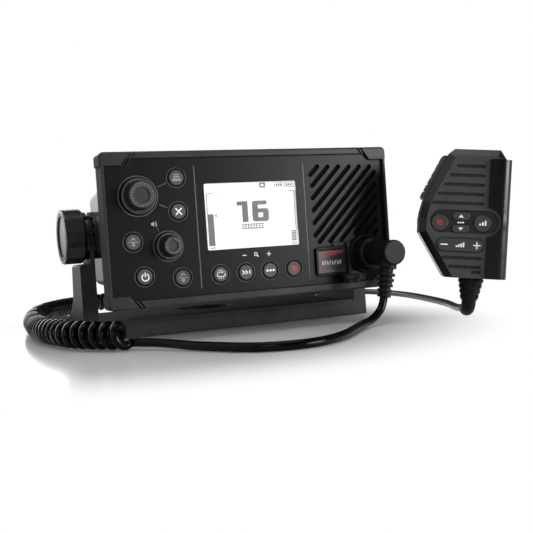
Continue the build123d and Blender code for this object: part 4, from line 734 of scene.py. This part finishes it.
def sixteen(width, height, gap, stem, beam):
    # the plain number 16 in square strokes with cut corners, its lower left corner at 0, 0
    flag = stem * 0.85
    one = bar(flag, 0, flag + stem, height) + bar(0, height - beam, flag, height)
    left = flag + stem + gap
    right = left + width
    middle = height * 0.62
    cut = beam * 0.45
    corners = ((left, cut, 1, -1), (right, cut, -1, -1), (left, height - cut, 1, 1),
               (right, middle - cut, -1, 1))
    six = bar(left, cut, left + stem, height - cut) + bar(right - stem, cut, right, middle - cut)
    six += bar(left + stem, 0, right - stem, beam) + bar(left + stem, middle - beam, right - stem, middle)
    six += bar(left + stem, height - beam, right - cut, height)
    for x, z, inward, outward in corners:
        six += [[(x, z), (x + inward * stem, z), (x + inward * stem, z + outward * cut),
                 (x + inward * cut, z + outward * cut)]]
    return one + six


def arrow(x, z, size, up=True):
    sign = 1 if up else -1
    return [[(x - size, z - sign * size * 0.5), (x + size, z - sign * size * 0.5),
             (x, z + sign * size * 0.7)]]


keyPlaces = {
    "key_menu": (-49.4, 76.0),
    "key_close": (-49.4, 55.9),
    "key_source": (-78.2, 39.3),
    "key_power": (-72.7, 18.6),
    "key_mark": (-49.4, 16.4),
    "key_weather": (-25.3, 16.6),
    "key_scan": (-8.6, 16.6),
    "key_watch": (7.6, 16.6),
    "key_channel_16": (24.1, 16.6),
}


def keySigns():
    # a generic sign for each key, about its own centre
    rays = []
    for angle in range(30, 151, 30):
        turn = math.radians(angle)
        rays += stroke([(math.cos(turn) * 1.9 - 0.1, math.sin(turn) * 1.9 + 0.2),
                        (math.cos(turn) * 2.8 - 0.1, math.sin(turn) * 2.8 + 0.2)], 0.32)
    cloud = arc(-1.7, -0.5, 0.85, 0.42, 95, 270) + arc(-0.1, 0.1, 1.3, 0.42, 30, 150)
    cloud += arc(1.75, -0.45, 0.9, 0.42, -90, 75) + bar(-1.7, -1.56, 1.75, -1.14)
    for left in (-1.5, -0.2, 1.1):
        cloud += bar(left, -2.7, left + 0.4, -2.0)
    rows = bar(-1.6, 1.5, 1.6, 1.95) + bar(-2.1, 0.2, 2.1, 0.65)
    return {
        "key_menu": rows + bar(-2.6, -1.1, 2.6, -0.65) + bar(-2.6, -1.9, 2.6, -1.45),
        "key_close": stroke([(-1.9, -2.0), (1.9, 2.0)], 0.75) + stroke([(-1.9, 2.0), (1.9, -2.0)], 0.75),
        "key_source": stroke([(-1.2, 1.0), (0, 2.3), (1.2, 1.0)], 0.4) + bar(-2.9, -0.2, 2.9, 0.1)
        + arc(0, -1.5, 0.75, 0.4),
        "key_power": arc(0.2, -0.3, 2.1, 0.62, 118, 422) + bar(-0.12, -0.2, 0.52, 2.5),
        "key_mark": stroke([(-1.7, 1.2), (0, 2.4), (1.7, 1.2)], 0.4) + bar(-2.7, -0.15, -1.1, 0.12)
        + bar(-0.7, -0.15, 0.7, 0.12) + bar(1.1, -0.15, 2.7, 0.12) + arc(0, -1.5, 0.8, 0.4)
        + bar(-0.2, -1.7, 0.2, -1.3),
        "key_weather": rays + cloud,
        "key_scan": stroke([(-2.7, 1.2), (-1.2, 0), (-2.7, -1.2)], 0.55)
        + stroke([(-0.7, 1.2), (0.8, 0), (-0.7, -1.2)], 0.55) + bar(1.9, -1.3, 2.5, 1.3),
        "key_watch": disc(-2.1, 0, 0.75) + disc(0, 0, 0.75) + disc(2.1, 0, 0.75),
        "key_channel_16": moved(sixteen(2.3, 3.5, 0.55, 0.72, 0.62), -2.2, -1.75),
    }


keyFace = -58.9
signInks = {"key_channel_16": "redInk", "key_menu": "greyInk", "key_source": "greyInk", "key_mark": "greyInk"}


def markKeys():
    for name, shapes in keySigns().items():
        x, height = keyPlaces[name]
        finish = signInks.get(name, "whiteInk")
        label = name.replace("key_", "sign_")
        makeMarks(label, moved(shapes, x, height), frontPlace(keyFace), finish, name + "_body")


markKeys()

# printed on the panel: dividers, pointers from knobs to keys, the zoom legend and the loudness sign
panelFace = -58.0
dividers = {"places": (-37.9, 35.0), "half": 0.28, "low": 9.0, "high": 82.7}
lineParts = stroke([(-60.9, 71.0), (-55.8, 73.1)], 0.45) + stroke([(-60.7, 60.5), (-55.9, 58.6)], 0.45)
lineParts += stroke([(-63.3, 47.4), (-62.2, 45.0)], 0.3)
for x in dividers["places"]:
    lineParts += bar(x - dividers["half"], dividers["low"], x + dividers["half"], dividers["high"])
makeMarks("panelLines", lineParts, frontPlace(panelFace), "trimLine", "radio", stand=0.1, sink=0.35)
legends = bar(-10.1, 26.8, -7.5, 27.3) + arc(-1.2, 27.3, 0.95, 0.42)
legends += stroke([(-0.5, 26.6), (0.5, 25.6)], 0.5)
legends += bar(6.2, 26.75, 9.0, 27.25) + bar(7.35, 25.6, 7.85, 28.4)
makeMarks("panelLegends", legends, frontPlace(panelFace), "whiteInk", "radio")
volumeSign = [[(-66.6, 48.6), (-65.9, 48.6), (-65.0, 47.7), (-65.0, 50.7), (-65.9, 49.8), (-66.6, 49.8)]]
volumeSign += arc(-65.2, 49.2, 1.1, 0.32, -50, 50) + arc(-65.2, 49.2, 1.9, 0.32, -50, 50)
makeMarks("volumeSign", volumeSign, frontPlace(panelFace), "greyInk", "radio")

# the display: a lit sheet behind the glass, and what it shows
display = {"left": -32.1, "right": 29.1, "low": 31.5, "high": 71.9, "face": -54.95, "lift": 0.05,
           "glyphs": 8, "glyphPitch": 1.85, "lines": 7, "linePitch": 0.95, "dots": 3}
makeMarks("displaySheet", bar(display["left"], display["low"], display["right"], display["high"]),
          frontPlace(display["face"]), "displayLit", "radio", stand=display["lift"])
shown = moved(sixteen(11.1, 12.9, 2.9, 3.9, 2.5), -10.9, 47.5)
for index in range(display["glyphs"]):
    left = -8.0 + index * display["glyphPitch"]
    shown += bar(left, 43.1, left + 1.4, 43.9) + bar(left, 43.9, left + 0.5, 46.4)
    shown += bar(left + 0.5, 45.7, left + 1.4, 46.4) + bar(left + 0.9, 44.6, left + 1.4, 45.2)
# level bar with its pointer, corner brackets and a small sign at the top
shown += bar(-30.5, 34.0, -26.5, 53.4) + [[(-25.7, 52.4), (-24.5, 51.3), (-24.5, 53.5)]]
shown += bar(28.3, 41.2, 28.7, 66.0) + bar(25.1, 65.7, 28.3, 66.1)
shown += bar(-30.5, 53.4, -30.1, 66.0) + bar(-30.1, 65.7, -26.6, 66.1)
shown += bar(5.1, 68.4, 9.0, 69.3) + bar(5.1, 70.7, 9.0, 71.6)
shown += bar(5.1, 69.3, 6.1, 70.7) + bar(8.0, 69.3, 9.0, 70.7)
for index in range(display["lines"]):
    low = 34.3 + index * display["linePitch"]
    shown += bar(25.0, low, 28.5, low + 0.62)
for left in (-29.6, 25.3):
    for index in range(display["dots"]):
        shown += bar(left + index * 1.1, 32.3, left + 0.7 + index * 1.1, 33.1)
for left in (15.4, 22.3):
    shown += bar(left, 68.2, left + 6.2, 68.5) + bar(left, 71.2, left + 6.2, 71.5)
    shown += bar(left, 68.5, left + 0.3, 71.2) + bar(left + 5.9, 68.5, left + 6.2, 71.2)
    for index in range(display["dots"]):
        shown += bar(left + 1.0 + index * 1.5, 69.1, left + 2.0 + index * 1.5, 70.6)
makeMarks("displayFigures", shown, frontPlace(display["face"] - display["lift"]), "displayDark", "radio",
          stand=thinFilm, sink=0.0)

# the distress flap: rows of red dashes (start, end, height), and a row of white strokes under them
flap = {"face": -59.5, "pitch": 1.5, "dash": 1.15, "tall": 0.7,
        "strokes": 8, "first": 43.6, "strokePitch": 1.82,
        "rows": ((42.0, 59.0, 25.3), (42.8, 58.4, 24.2), (47.8, 54.6, 23.1), (41.8, 46.2, 21.8),
                 (43.7, 46.2, 14.9))}
redRows = []
for start, end, low in flap["rows"]:
    dashes = round((end - start) / flap["pitch"])
    for index in range(dashes):
        left = start + (end - start) * index / dashes
        redRows += bar(left, low, left + flap["dash"], low + flap["tall"])
makeMarks("flapRed", redRows, frontPlace(flap["face"]), "redInk", "flap", stand=thinFilm)
whiteRow = []
for index in range(flap["strokes"]):
    left = flap["first"] + index * flap["strokePitch"]
    whiteRow += bar(left, 17.1, left + 0.4, 19.8) + bar(left + 0.4, 18.3, left + 1.1, 18.65)
    if index % 2:
        whiteRow += bar(left + 0.4, 19.4, left + 1.1, 19.8)
    else:
        whiteRow += bar(left + 0.85, 17.1, left + 1.2, 18.3)
makeMarks("flapWhite", whiteRow, frontPlace(flap["face"]), "whiteInk", "flap")


def sidePlace(x):
    # marks on the frame's sides: distance behind the front, and height above the fascia's lower edge
    side = 1 if x > 0 else -1
    return lambda a, b, h: Vector((x + side * h, frameFront + a, fasciaFoot + b)) * mm


parting = {"side": 94.5, "front": 7.6, "back": 8.7, "low": 14.0, "high": 78.0}
cornerGrooveShade = {"outer": 77.0, "inner": 82.8, "height": 8.0, "starts": (0.0, 2.5), "width": 1.3}


def grooveShapes(side, edge, inward):
    # the two slanted grooves beside one corner block, as dark bands of painted shade on the frame's front
    shapes = []
    outer, inner = cornerGrooveShade["outer"], cornerGrooveShade["inner"]
    far = edge + inward * cornerGrooveShade["height"]
    for start in cornerGrooveShade["starts"]:
        end = start + cornerGrooveShade["width"]
        shapes.append([(side * (outer - start), edge), (side * (outer - end), edge),
                       (side * (inner - end), far), (side * (inner - start), far)])
    return shapes


# painted shade: dark bands stand in for the grooves beside two corner blocks
makeMarks("cornerGrooveShade", grooveShapes(-1, 91.0, -1) + grooveShapes(1, 1.0, 1), frontPlace(frameFront),
          "shadowGap", "radio", stand=thinFilm)
# painted shade: dark bands stand in for the parting grooves along the frame's sides
for name, side in (("partingLeft", -1), ("partingRight", 1)):
    makeMarks(name, bar(parting["front"], parting["low"], parting["back"], parting["high"]),
              sidePlace(side * parting["side"]), "shadowGap", "radio", stand=thinFilm)
print("marks printed")


micSigns = {
    "signMic16": ("mic_key_16_body", moved(sixteen(2.2, 3.3, 0.55, 0.62, 0.54), -23.4, 56.6), "redInk"),
    "signMicLevel": ("mic_key_level_body",
                     bar(2.2, 57.2, 3.2, 58.4) + bar(3.8, 57.2, 4.8, 59.3) + bar(5.4, 57.2, 6.4, 60.2),
                     "whiteInk"),
    "signMicUp": ("mic_key_up_body", arrow(-8.8, 62.4, 1.5), "whiteInk"),
    "signMicDown": ("mic_key_down_body", arrow(-8.8, 54.8, 1.5, up=False), "whiteInk"),
}
for name, (body, shapes, finish) in micSigns.items():
    makeMarks(name, shapes, micPlace(micFaces["key"]), finish, body)
rockerSigns = bar(-20.4, 44.6, -16.2, 45.3) + bar(-0.9, 44.6, 3.5, 45.3) + bar(0.95, 42.8, 1.65, 47.1)
for index, tall in enumerate((1.0, 1.6, 2.2, 2.8)):
    rockerSigns += bar(-11.3 + index * 1.4, 43.6, -10.4 + index * 1.4, 43.6 + tall)
makeMarks("signRocker", rockerSigns, micPlace(micFaces["rocker"]), "whiteInk", "volume_rocker")
makeMarks("signMicMiddle", disc(-10.2, 58.6, 0.55) + disc(-8.8, 58.6, 0.55) + disc(-7.4, 58.6, 0.55),
          micPlace(micFaces["recess"]), "whiteInk", "bracket")
print("microphone signs printed")


# cloth in the slots: the two ends of each speaker slot, and left, right and height of each microphone slot
slotEnds = (
    ((39.9, 75.3), (45.2, 80.3)), ((40.7, 68.3), (52.6, 80.0)), ((40.6, 60.4), (60.4, 80.0)),
    ((40.7, 52.6), (68.2, 79.8)), ((40.8, 44.6), (75.8, 79.6)), ((40.8, 36.6), (83.4, 79.4)),
    ((43.6, 32.2), (86.8, 75.5)), ((51.2, 32.2), (86.8, 67.8)), ((59.4, 32.6), (86.8, 60.0)),
    ((70.3, 36.4), (86.6, 52.5)), ((78.4, 37.0), (86.4, 44.9)), ((84.3, 35.4), (86.4, 37.4)),
)
micSlots = (
    (-12.3, 3.4, 92.9), (-15.9, 3.4, 87.3), (-19.4, 3.4, 81.6), (-22.6, 3.4, 75.9), (-26.0, 3.4, 70.2),
    (-18.4, 3.6, 37.0), (-14.4, 3.6, 31.6), (-0.4, 3.6, 28.6),
)
cloth = {"speakerDepth": 1.5, "speakerWidth": 2.84, "micDepth": 1.2, "micWidth": 1.84, "thickness": 0.4}


def pill(start, end, width, sides=8):
    # one outline with round ends about two points
    first, second = Vector(start), Vector(end)
    heading = math.atan2(second.y - first.y, second.x - first.x)
    outline = []
    for centre, turn in ((second, heading - math.pi / 2), (first, heading + math.pi / 2)):
        for step in range(sides + 1):
            angle = turn + math.pi * step / sides
            outline.append((centre.x + math.cos(angle) * width / 2, centre.y + math.sin(angle) * width / 2))
    return [outline]


speakerCloth = []
for start, end in slotEnds:
    speakerCloth += pill(start, end, cloth["speakerWidth"])
makeMarks("speakerCloth", speakerCloth, frontPlace(panelFace + cloth["speakerDepth"]), "slotCloth", "radio",
          stand=0.0, sink=cloth["thickness"])
micCloth = []
for start, end, height in micSlots:
    micCloth += pill((start, height), (end, height), cloth["micWidth"])
makeMarks("micCloth", micCloth, micPlace(micFaces["front"] - cloth["micDepth"]), "micSlot", "bracket",
          stand=0.0, sink=cloth["thickness"])
print("slots lined")


class PieceTree(NodeSet):
    # a Geometry Nodes tree that puts a shape on each point and gives the result its finish
    def __init__(self, name, inputs):
        super().__init__(bpy.data.node_groups.new(name, "GeometryNodeTree"))
        interface = self.tree.interface
        interface.new_socket("Geometry", in_out="INPUT", socket_type="NodeSocketGeometry")
        self.sockets = {}
        for key, kind in {**inputs, "Finish": "Material"}.items():
            socket = interface.new_socket(key, in_out="INPUT", socket_type="NodeSocket" + kind)
            self.sockets[key] = socket.identifier
        interface.new_socket("Geometry", in_out="OUTPUT", socket_type="NodeSocketGeometry")
        self.source = self.tree.nodes.new("NodeGroupInput").outputs
        self.sink = self.tree.nodes.new("NodeGroupOutput").inputs

    def new(self, kind):
        return self.tree.nodes.new("GeometryNode" + kind)

    def onPoints(self, shape, attribute):
        # the shape on every point, and the point's own number to size or turn it by
        named, instance = self.new("InputNamedAttribute"), self.new("InstanceOnPoints")
        real = self.new("RealizeInstances")
        named.data_type = "FLOAT"
        named.inputs["Name"].default_value = attribute
        self.link(self.source["Geometry"], instance.inputs["Points"])
        self.link(shape, instance.inputs["Instance"])
        self.link(instance.outputs["Instances"], real.inputs["Geometry"])
        return named.outputs["Attribute"], instance, real.outputs["Geometry"]

    def close(self, result):
        finish = self.new("SetMaterial")
        self.link(result, finish.inputs["Geometry"])
        self.link(self.source["Finish"], finish.inputs["Material"])
        self.link(finish.outputs["Geometry"], self.sink["Geometry"])


ringDetail = {"sides": 96, "section": 8}    # corners round a ring, and round its section


def ringTree():
    # rings of round section at given places: each point carries its own radius
    tree = PieceTree("raisedRings", {"Thickness": "Float", "Sides": "Int"})
    circle, section = tree.new("CurvePrimitiveCircle"), tree.new("CurvePrimitiveCircle")
    tube = tree.new("CurveToMesh")
    circle.inputs["Radius"].default_value = 1.0
    section.inputs["Resolution"].default_value = ringDetail["section"]
    tree.link(tree.source["Sides"], circle.inputs["Resolution"])
    tree.link(tree.source["Thickness"], section.inputs["Radius"])
    radius, instance, rings = tree.onPoints(circle.outputs["Curve"], "ringRadius")
    tree.link(radius, instance.inputs["Scale"])
    instance.inputs["Rotation"].default_value = (math.pi / 2, 0, 0)
    tree.link(rings, tube.inputs["Curve"])
    tree.link(section.outputs["Curve"], tube.inputs["Profile Curve"])
    tree.close(tube.outputs["Mesh"])
    return tree


def tickTree():
    # small bars standing round a circle: each point carries its own turn
    tree = PieceTree("ticks", {"Size": "Vector"})
    tick, turned = tree.new("MeshCube"), tree.add("CombineXYZ")
    tree.link(tree.source["Size"], tick.inputs["Size"])
    turn, instance, ticks = tree.onPoints(tick.outputs["Mesh"], "turn")
    tree.link(turn, turned.inputs["Y"])
    tree.link(turned.outputs["Vector"], instance.inputs["Rotation"])
    tree.close(ticks)
    return tree


def growPiece(name, points, attribute, numbers, tree, values, body):
    # the tree at work on its points, and its result as a plain mesh
    mesh = bpy.data.meshes.new(name + "Points")
    mesh.from_pydata([Vector(point) * mm for point in points], [], [])
    mesh.attributes.new(attribute, "FLOAT", "POINT").data.foreach_set("value", numbers)
    carrier = putIn(name + "Carrier", mesh)
    modifier = carrier.modifiers.new(name, "NODES")
    modifier.node_group = tree.tree
    for key, value in values.items():
        modifier[tree.sockets[key]] = value
    bpy.context.view_layer.update()
    evaluated = carrier.evaluated_get(bpy.context.evaluated_depsgraph_get())
    baked = bpy.data.meshes.new_from_object(evaluated)
    baked.name = name
    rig.ride(putIn(name, baked), body)
    bpy.data.objects.remove(carrier)


ringNodes, tickNodes = ringTree(), tickTree()


def makeRings(name, rings, y, thickness, finish, body="radio"):
    # rings: X, height and radius of each
    points = [(x, y, fasciaFoot + height) for x, height, _ in rings]
    growPiece(name, points, "ringRadius", [radius * mm for _, _, radius in rings], ringNodes,
              {"Thickness": thickness * mm, "Sides": ringDetail["sides"], "Finish": finishes[finish]}, body)


# radii round each knob's centre: the ring on the panel, the ticks, and the cap's and the skirt's rings, light rings
# that paint highlights on those rims
knobFace, skirtFace = -68.4, -60.6
turningKnobs = {
    "channel": {"centre": (-73.4, 65.9), "ring": 11.8, "cap": 6.85, "skirt": 10.0,
                "tickRing": 5.9, "ticks": 24, "tickSize": (0.5, 0.2, 1.1)},
    "volume": {"centre": (-57.0, 35.7), "ring": 9.0, "cap": 4.55, "skirt": 7.5,
               "tickRing": 3.9, "ticks": 18, "tickSize": (0.4, 0.2, 0.8)},
}
ringThickness = {"key": 0.22, "knob": 0.36, "cap": 0.2, "skirt": 0.22}
keyRing = 5.9


def makeTicks(name, knob, finish, body):
    turns = [2 * math.pi * index / knob["ticks"] for index in range(knob["ticks"])]
    x, height = knob["centre"]
    radius = knob["tickRing"]
    points = [(x + math.sin(turn) * radius, knobFace, fasciaFoot + height + math.cos(turn) * radius)
              for turn in turns]
    growPiece(name, points, "turn", turns, tickNodes,
              {"Size": [side * mm for side in knob["tickSize"]], "Finish": finishes[finish]}, body)


def ringKnobs():
    makeRings("keyRings", [(x, height, keyRing) for x, height in keyPlaces.values()], panelFace,
              ringThickness["key"], "trimLine")
    makeRings("knobRings", [(*knob["centre"], knob["ring"]) for knob in turningKnobs.values()], panelFace,
              ringThickness["knob"], "trimLine")
    for name, knob in turningKnobs.items():
        body = name + "_turn"
        makeTicks(name + "Ticks", knob, "trimLight", body)
        # the light rings on the cap and the skirt are painted highlights on their rims
        for part, y in (("cap", knobFace), ("skirt", skirtFace)):
            makeRings(name + part.capitalize() + "Ring", [(*knob["centre"], knob[part])], y,
                      ringThickness[part], "trimLight", body)


ringKnobs()

# strain relief of the microphone's boot: rows of short bars round its cone, each row turned against the last
bootRibs = {"neck": (0.6, 24.6, 7.5), "elbow": (0.0, 10.6, 4.8), "rows": (11.6, 14.9, 18.2, 21.5),
            "tall": 2.3, "stand": 0.5, "sink": 0.6, "edge": 0.2, "bars": 5, "bar": 56.0, "steps": 10}


def bootCone(level):
    # centre and radius of the boot's cone at a height above the foot
    neckX, top, wide = bootRibs["neck"]
    elbowX, bottom, narrow = bootRibs["elbow"]
    share = (level - bottom) / (top - bottom)
    return elbowX + (neckX - elbowX) * share, narrow + (wide - narrow) * share


def makeBootRibs():
    build = bmesh.new()
    place = micPlace(0)
    edge, stand, steps = bootRibs["edge"], bootRibs["stand"], bootRibs["steps"]
    pitch = 360 / bootRibs["bars"]
    for row, low in enumerate(bootRibs["rows"]):
        high = low + bootRibs["tall"]
        section = [(low, -bootRibs["sink"]), (low, stand - edge), (low + edge, stand), (high - edge, stand),
                   (high, stand - edge), (high, -bootRibs["sink"])]
        for count in range(bootRibs["bars"]):
            loops = []
            for step in range(steps + 1):
                turn = math.radians((count + row / 2) * pitch + bootRibs["bar"] * (step / steps - 0.5) - 90)
                loop = []
                for level, rise in section:
                    middle, radius = bootCone(level)
                    across, out = (radius + rise) * math.cos(turn), -(radius + rise) * math.sin(turn)
                    loop.append(build.verts.new(place(middle + across, level, out)))
                loops.append(loop)
            for first, second in zip(loops, loops[1:]):
                for index in range(len(section)):
                    after = (index + 1) % len(section)
                    build.faces.new((first[index], first[after], second[after], second[index]))
            build.faces.new(loops[0])
            build.faces.new(loops[-1])
    piece = putIn("bootRibs", closedMesh(build, "bootRibs"))
    setFinish(piece, "plugRubber")
    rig.ride(piece, "bracket")


makeBootRibs()
print("rings raised")


# white floor that fades into the white background; lengths in metres
ground = {"half": 6, "under": 0.0003, "colour": (0.9, 0.9, 0.9, 1), "roughness": 0.16,
          "shift": (0.07, 0.0, 0), "stretch": (1.15, 1.1, 0.0), "fadeStart": 0.165, "fadeEnd": 0.27}


def makeFloor():
    mesh = bpy.data.meshes.new("floor")
    build = bmesh.new()
    half = ground["half"]
    corners = ((-half, -half), (half, -half), (half, half), (-half, half))
    build.faces.new([build.verts.new((x, y, -ground["under"])) for x, y in corners])
    build.to_mesh(mesh)
    build.free()
    floor = putIn("floor", mesh)
    shader = Shader("floorWhite")
    shader.surface.inputs["Base Color"].default_value = ground["colour"]
    shader.surface.inputs["Roughness"].default_value = ground["roughness"]
    centred = shader.add("Mapping", {"Location": ground["shift"], "Scale": ground["stretch"]})
    shader.link(shader.add("TexCoord").outputs["Object"], centred.inputs["Vector"])
    far = shader.add("VectorMath", operation="LENGTH")
    shader.link(centred.outputs["Vector"], far.inputs[0])
    fade = shader.mapped(far.outputs["Value"], ground["fadeStart"], ground["fadeEnd"], way="SMOOTHSTEP")
    rays = shader.add("LightPath").outputs
    seen = shader.math("MAXIMUM", rays["Is Camera Ray"], rays["Is Glossy Ray"])
    seen = shader.math("MAXIMUM", seen, rays["Is Transmission Ray"])
    white = shader.add("Emission", {"Color": (1, 1, 1, 1), "Strength": 1.0})
    mixed = shader.add("MixShader")
    shader.link(shader.math("MULTIPLY", fade, seen), mixed.inputs["Fac"])
    shader.link(shader.surface.outputs["BSDF"], mixed.inputs[1])
    shader.link(white.outputs["Emission"], mixed.inputs[2])
    shader.link(mixed.outputs["Shader"], shader.output.inputs["Surface"])
    floor.data.materials.append(shader.material)
    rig.stage(floor)


studio = {"openSide": (-0.78, 0.6, 0.18), "start": 0.35, "end": 0.72, "dark": 0.1, "light": 0.55}


def makeWorld():
    # open and white to the left rear, dark elsewhere; the background is white to the camera
    world = bpy.data.worlds.new("studio")
    scene.world = world
    world.use_nodes = True
    sky = NodeSet(world.node_tree)
    towards = sky.add("VectorMath", {1: studio["openSide"]}, operation="DOT_PRODUCT")
    sky.link(sky.add("TexCoord").outputs["Generated"], towards.inputs[0])
    opening = sky.mapped(towards.outputs["Value"], studio["start"], studio["end"], way="SMOOTHSTEP")
    level = sky.mapped(opening, 0.0, 1.0, studio["dark"], studio["light"])
    rays = sky.add("LightPath").outputs
    mirrored = sky.math("MAXIMUM", rays["Is Glossy Ray"], rays["Is Transmission Ray"])
    seen = sky.math("MAXIMUM", rays["Is Camera Ray"], sky.math("MULTIPLY", mirrored, opening))
    back = world.node_tree.nodes["Background"]
    sky.link(sky.math("MAXIMUM", seen, level), back.inputs["Strength"])
    back.inputs["Color"].default_value = (1, 1, 1, 1)


# places, aims and sizes in mm, power in watts
lamps = {
    "rightSoftbox": {"place": (900, -960, 130), "aim": (60, -60, 60), "size": (760, 400), "power": 22.5},
    "leftSoftbox": {"place": (-900, -1100, 620), "aim": (0, -60, 50), "size": (700, 700), "power": 5.5},
    "rearSoftbox": {"place": (-350, 1200, 420), "aim": (-60, 0, 40), "size": (1000, 600), "power": 5.0},
    "topSoftbox": {"place": (0, -100, 1100), "aim": (0, 0, 40), "size": (900, 700), "power": 4.5},
}


def makeLamps():
    for name, lamp in lamps.items():
        data = bpy.data.lights.new(name, "AREA")
        data.shape = "RECTANGLE"
        data.size, data.size_y = (side * mm for side in lamp["size"])
        data.energy = lamp["power"]
        holder = putIn(name, data)
        holder.visible_camera = False
        place, aim = Vector(lamp["place"]) * mm, Vector(lamp["aim"]) * mm
        holder.location = place
        holder.rotation_euler = (aim - place).to_track_quat("-Z", "Y").to_euler()


makeFloor()
makeWorld()
makeLamps()
scene.view_settings.view_transform = "Standard"
print("floor and light set")

# the sizes before and after dressing
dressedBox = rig.bounds()
with open("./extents.json", "w") as sizeFile:
    json.dump({"cad": [list(corner) for corner in cadBox],
               "dressed": [list(corner) for corner in dressedBox]}, sizeFile, indent=1)
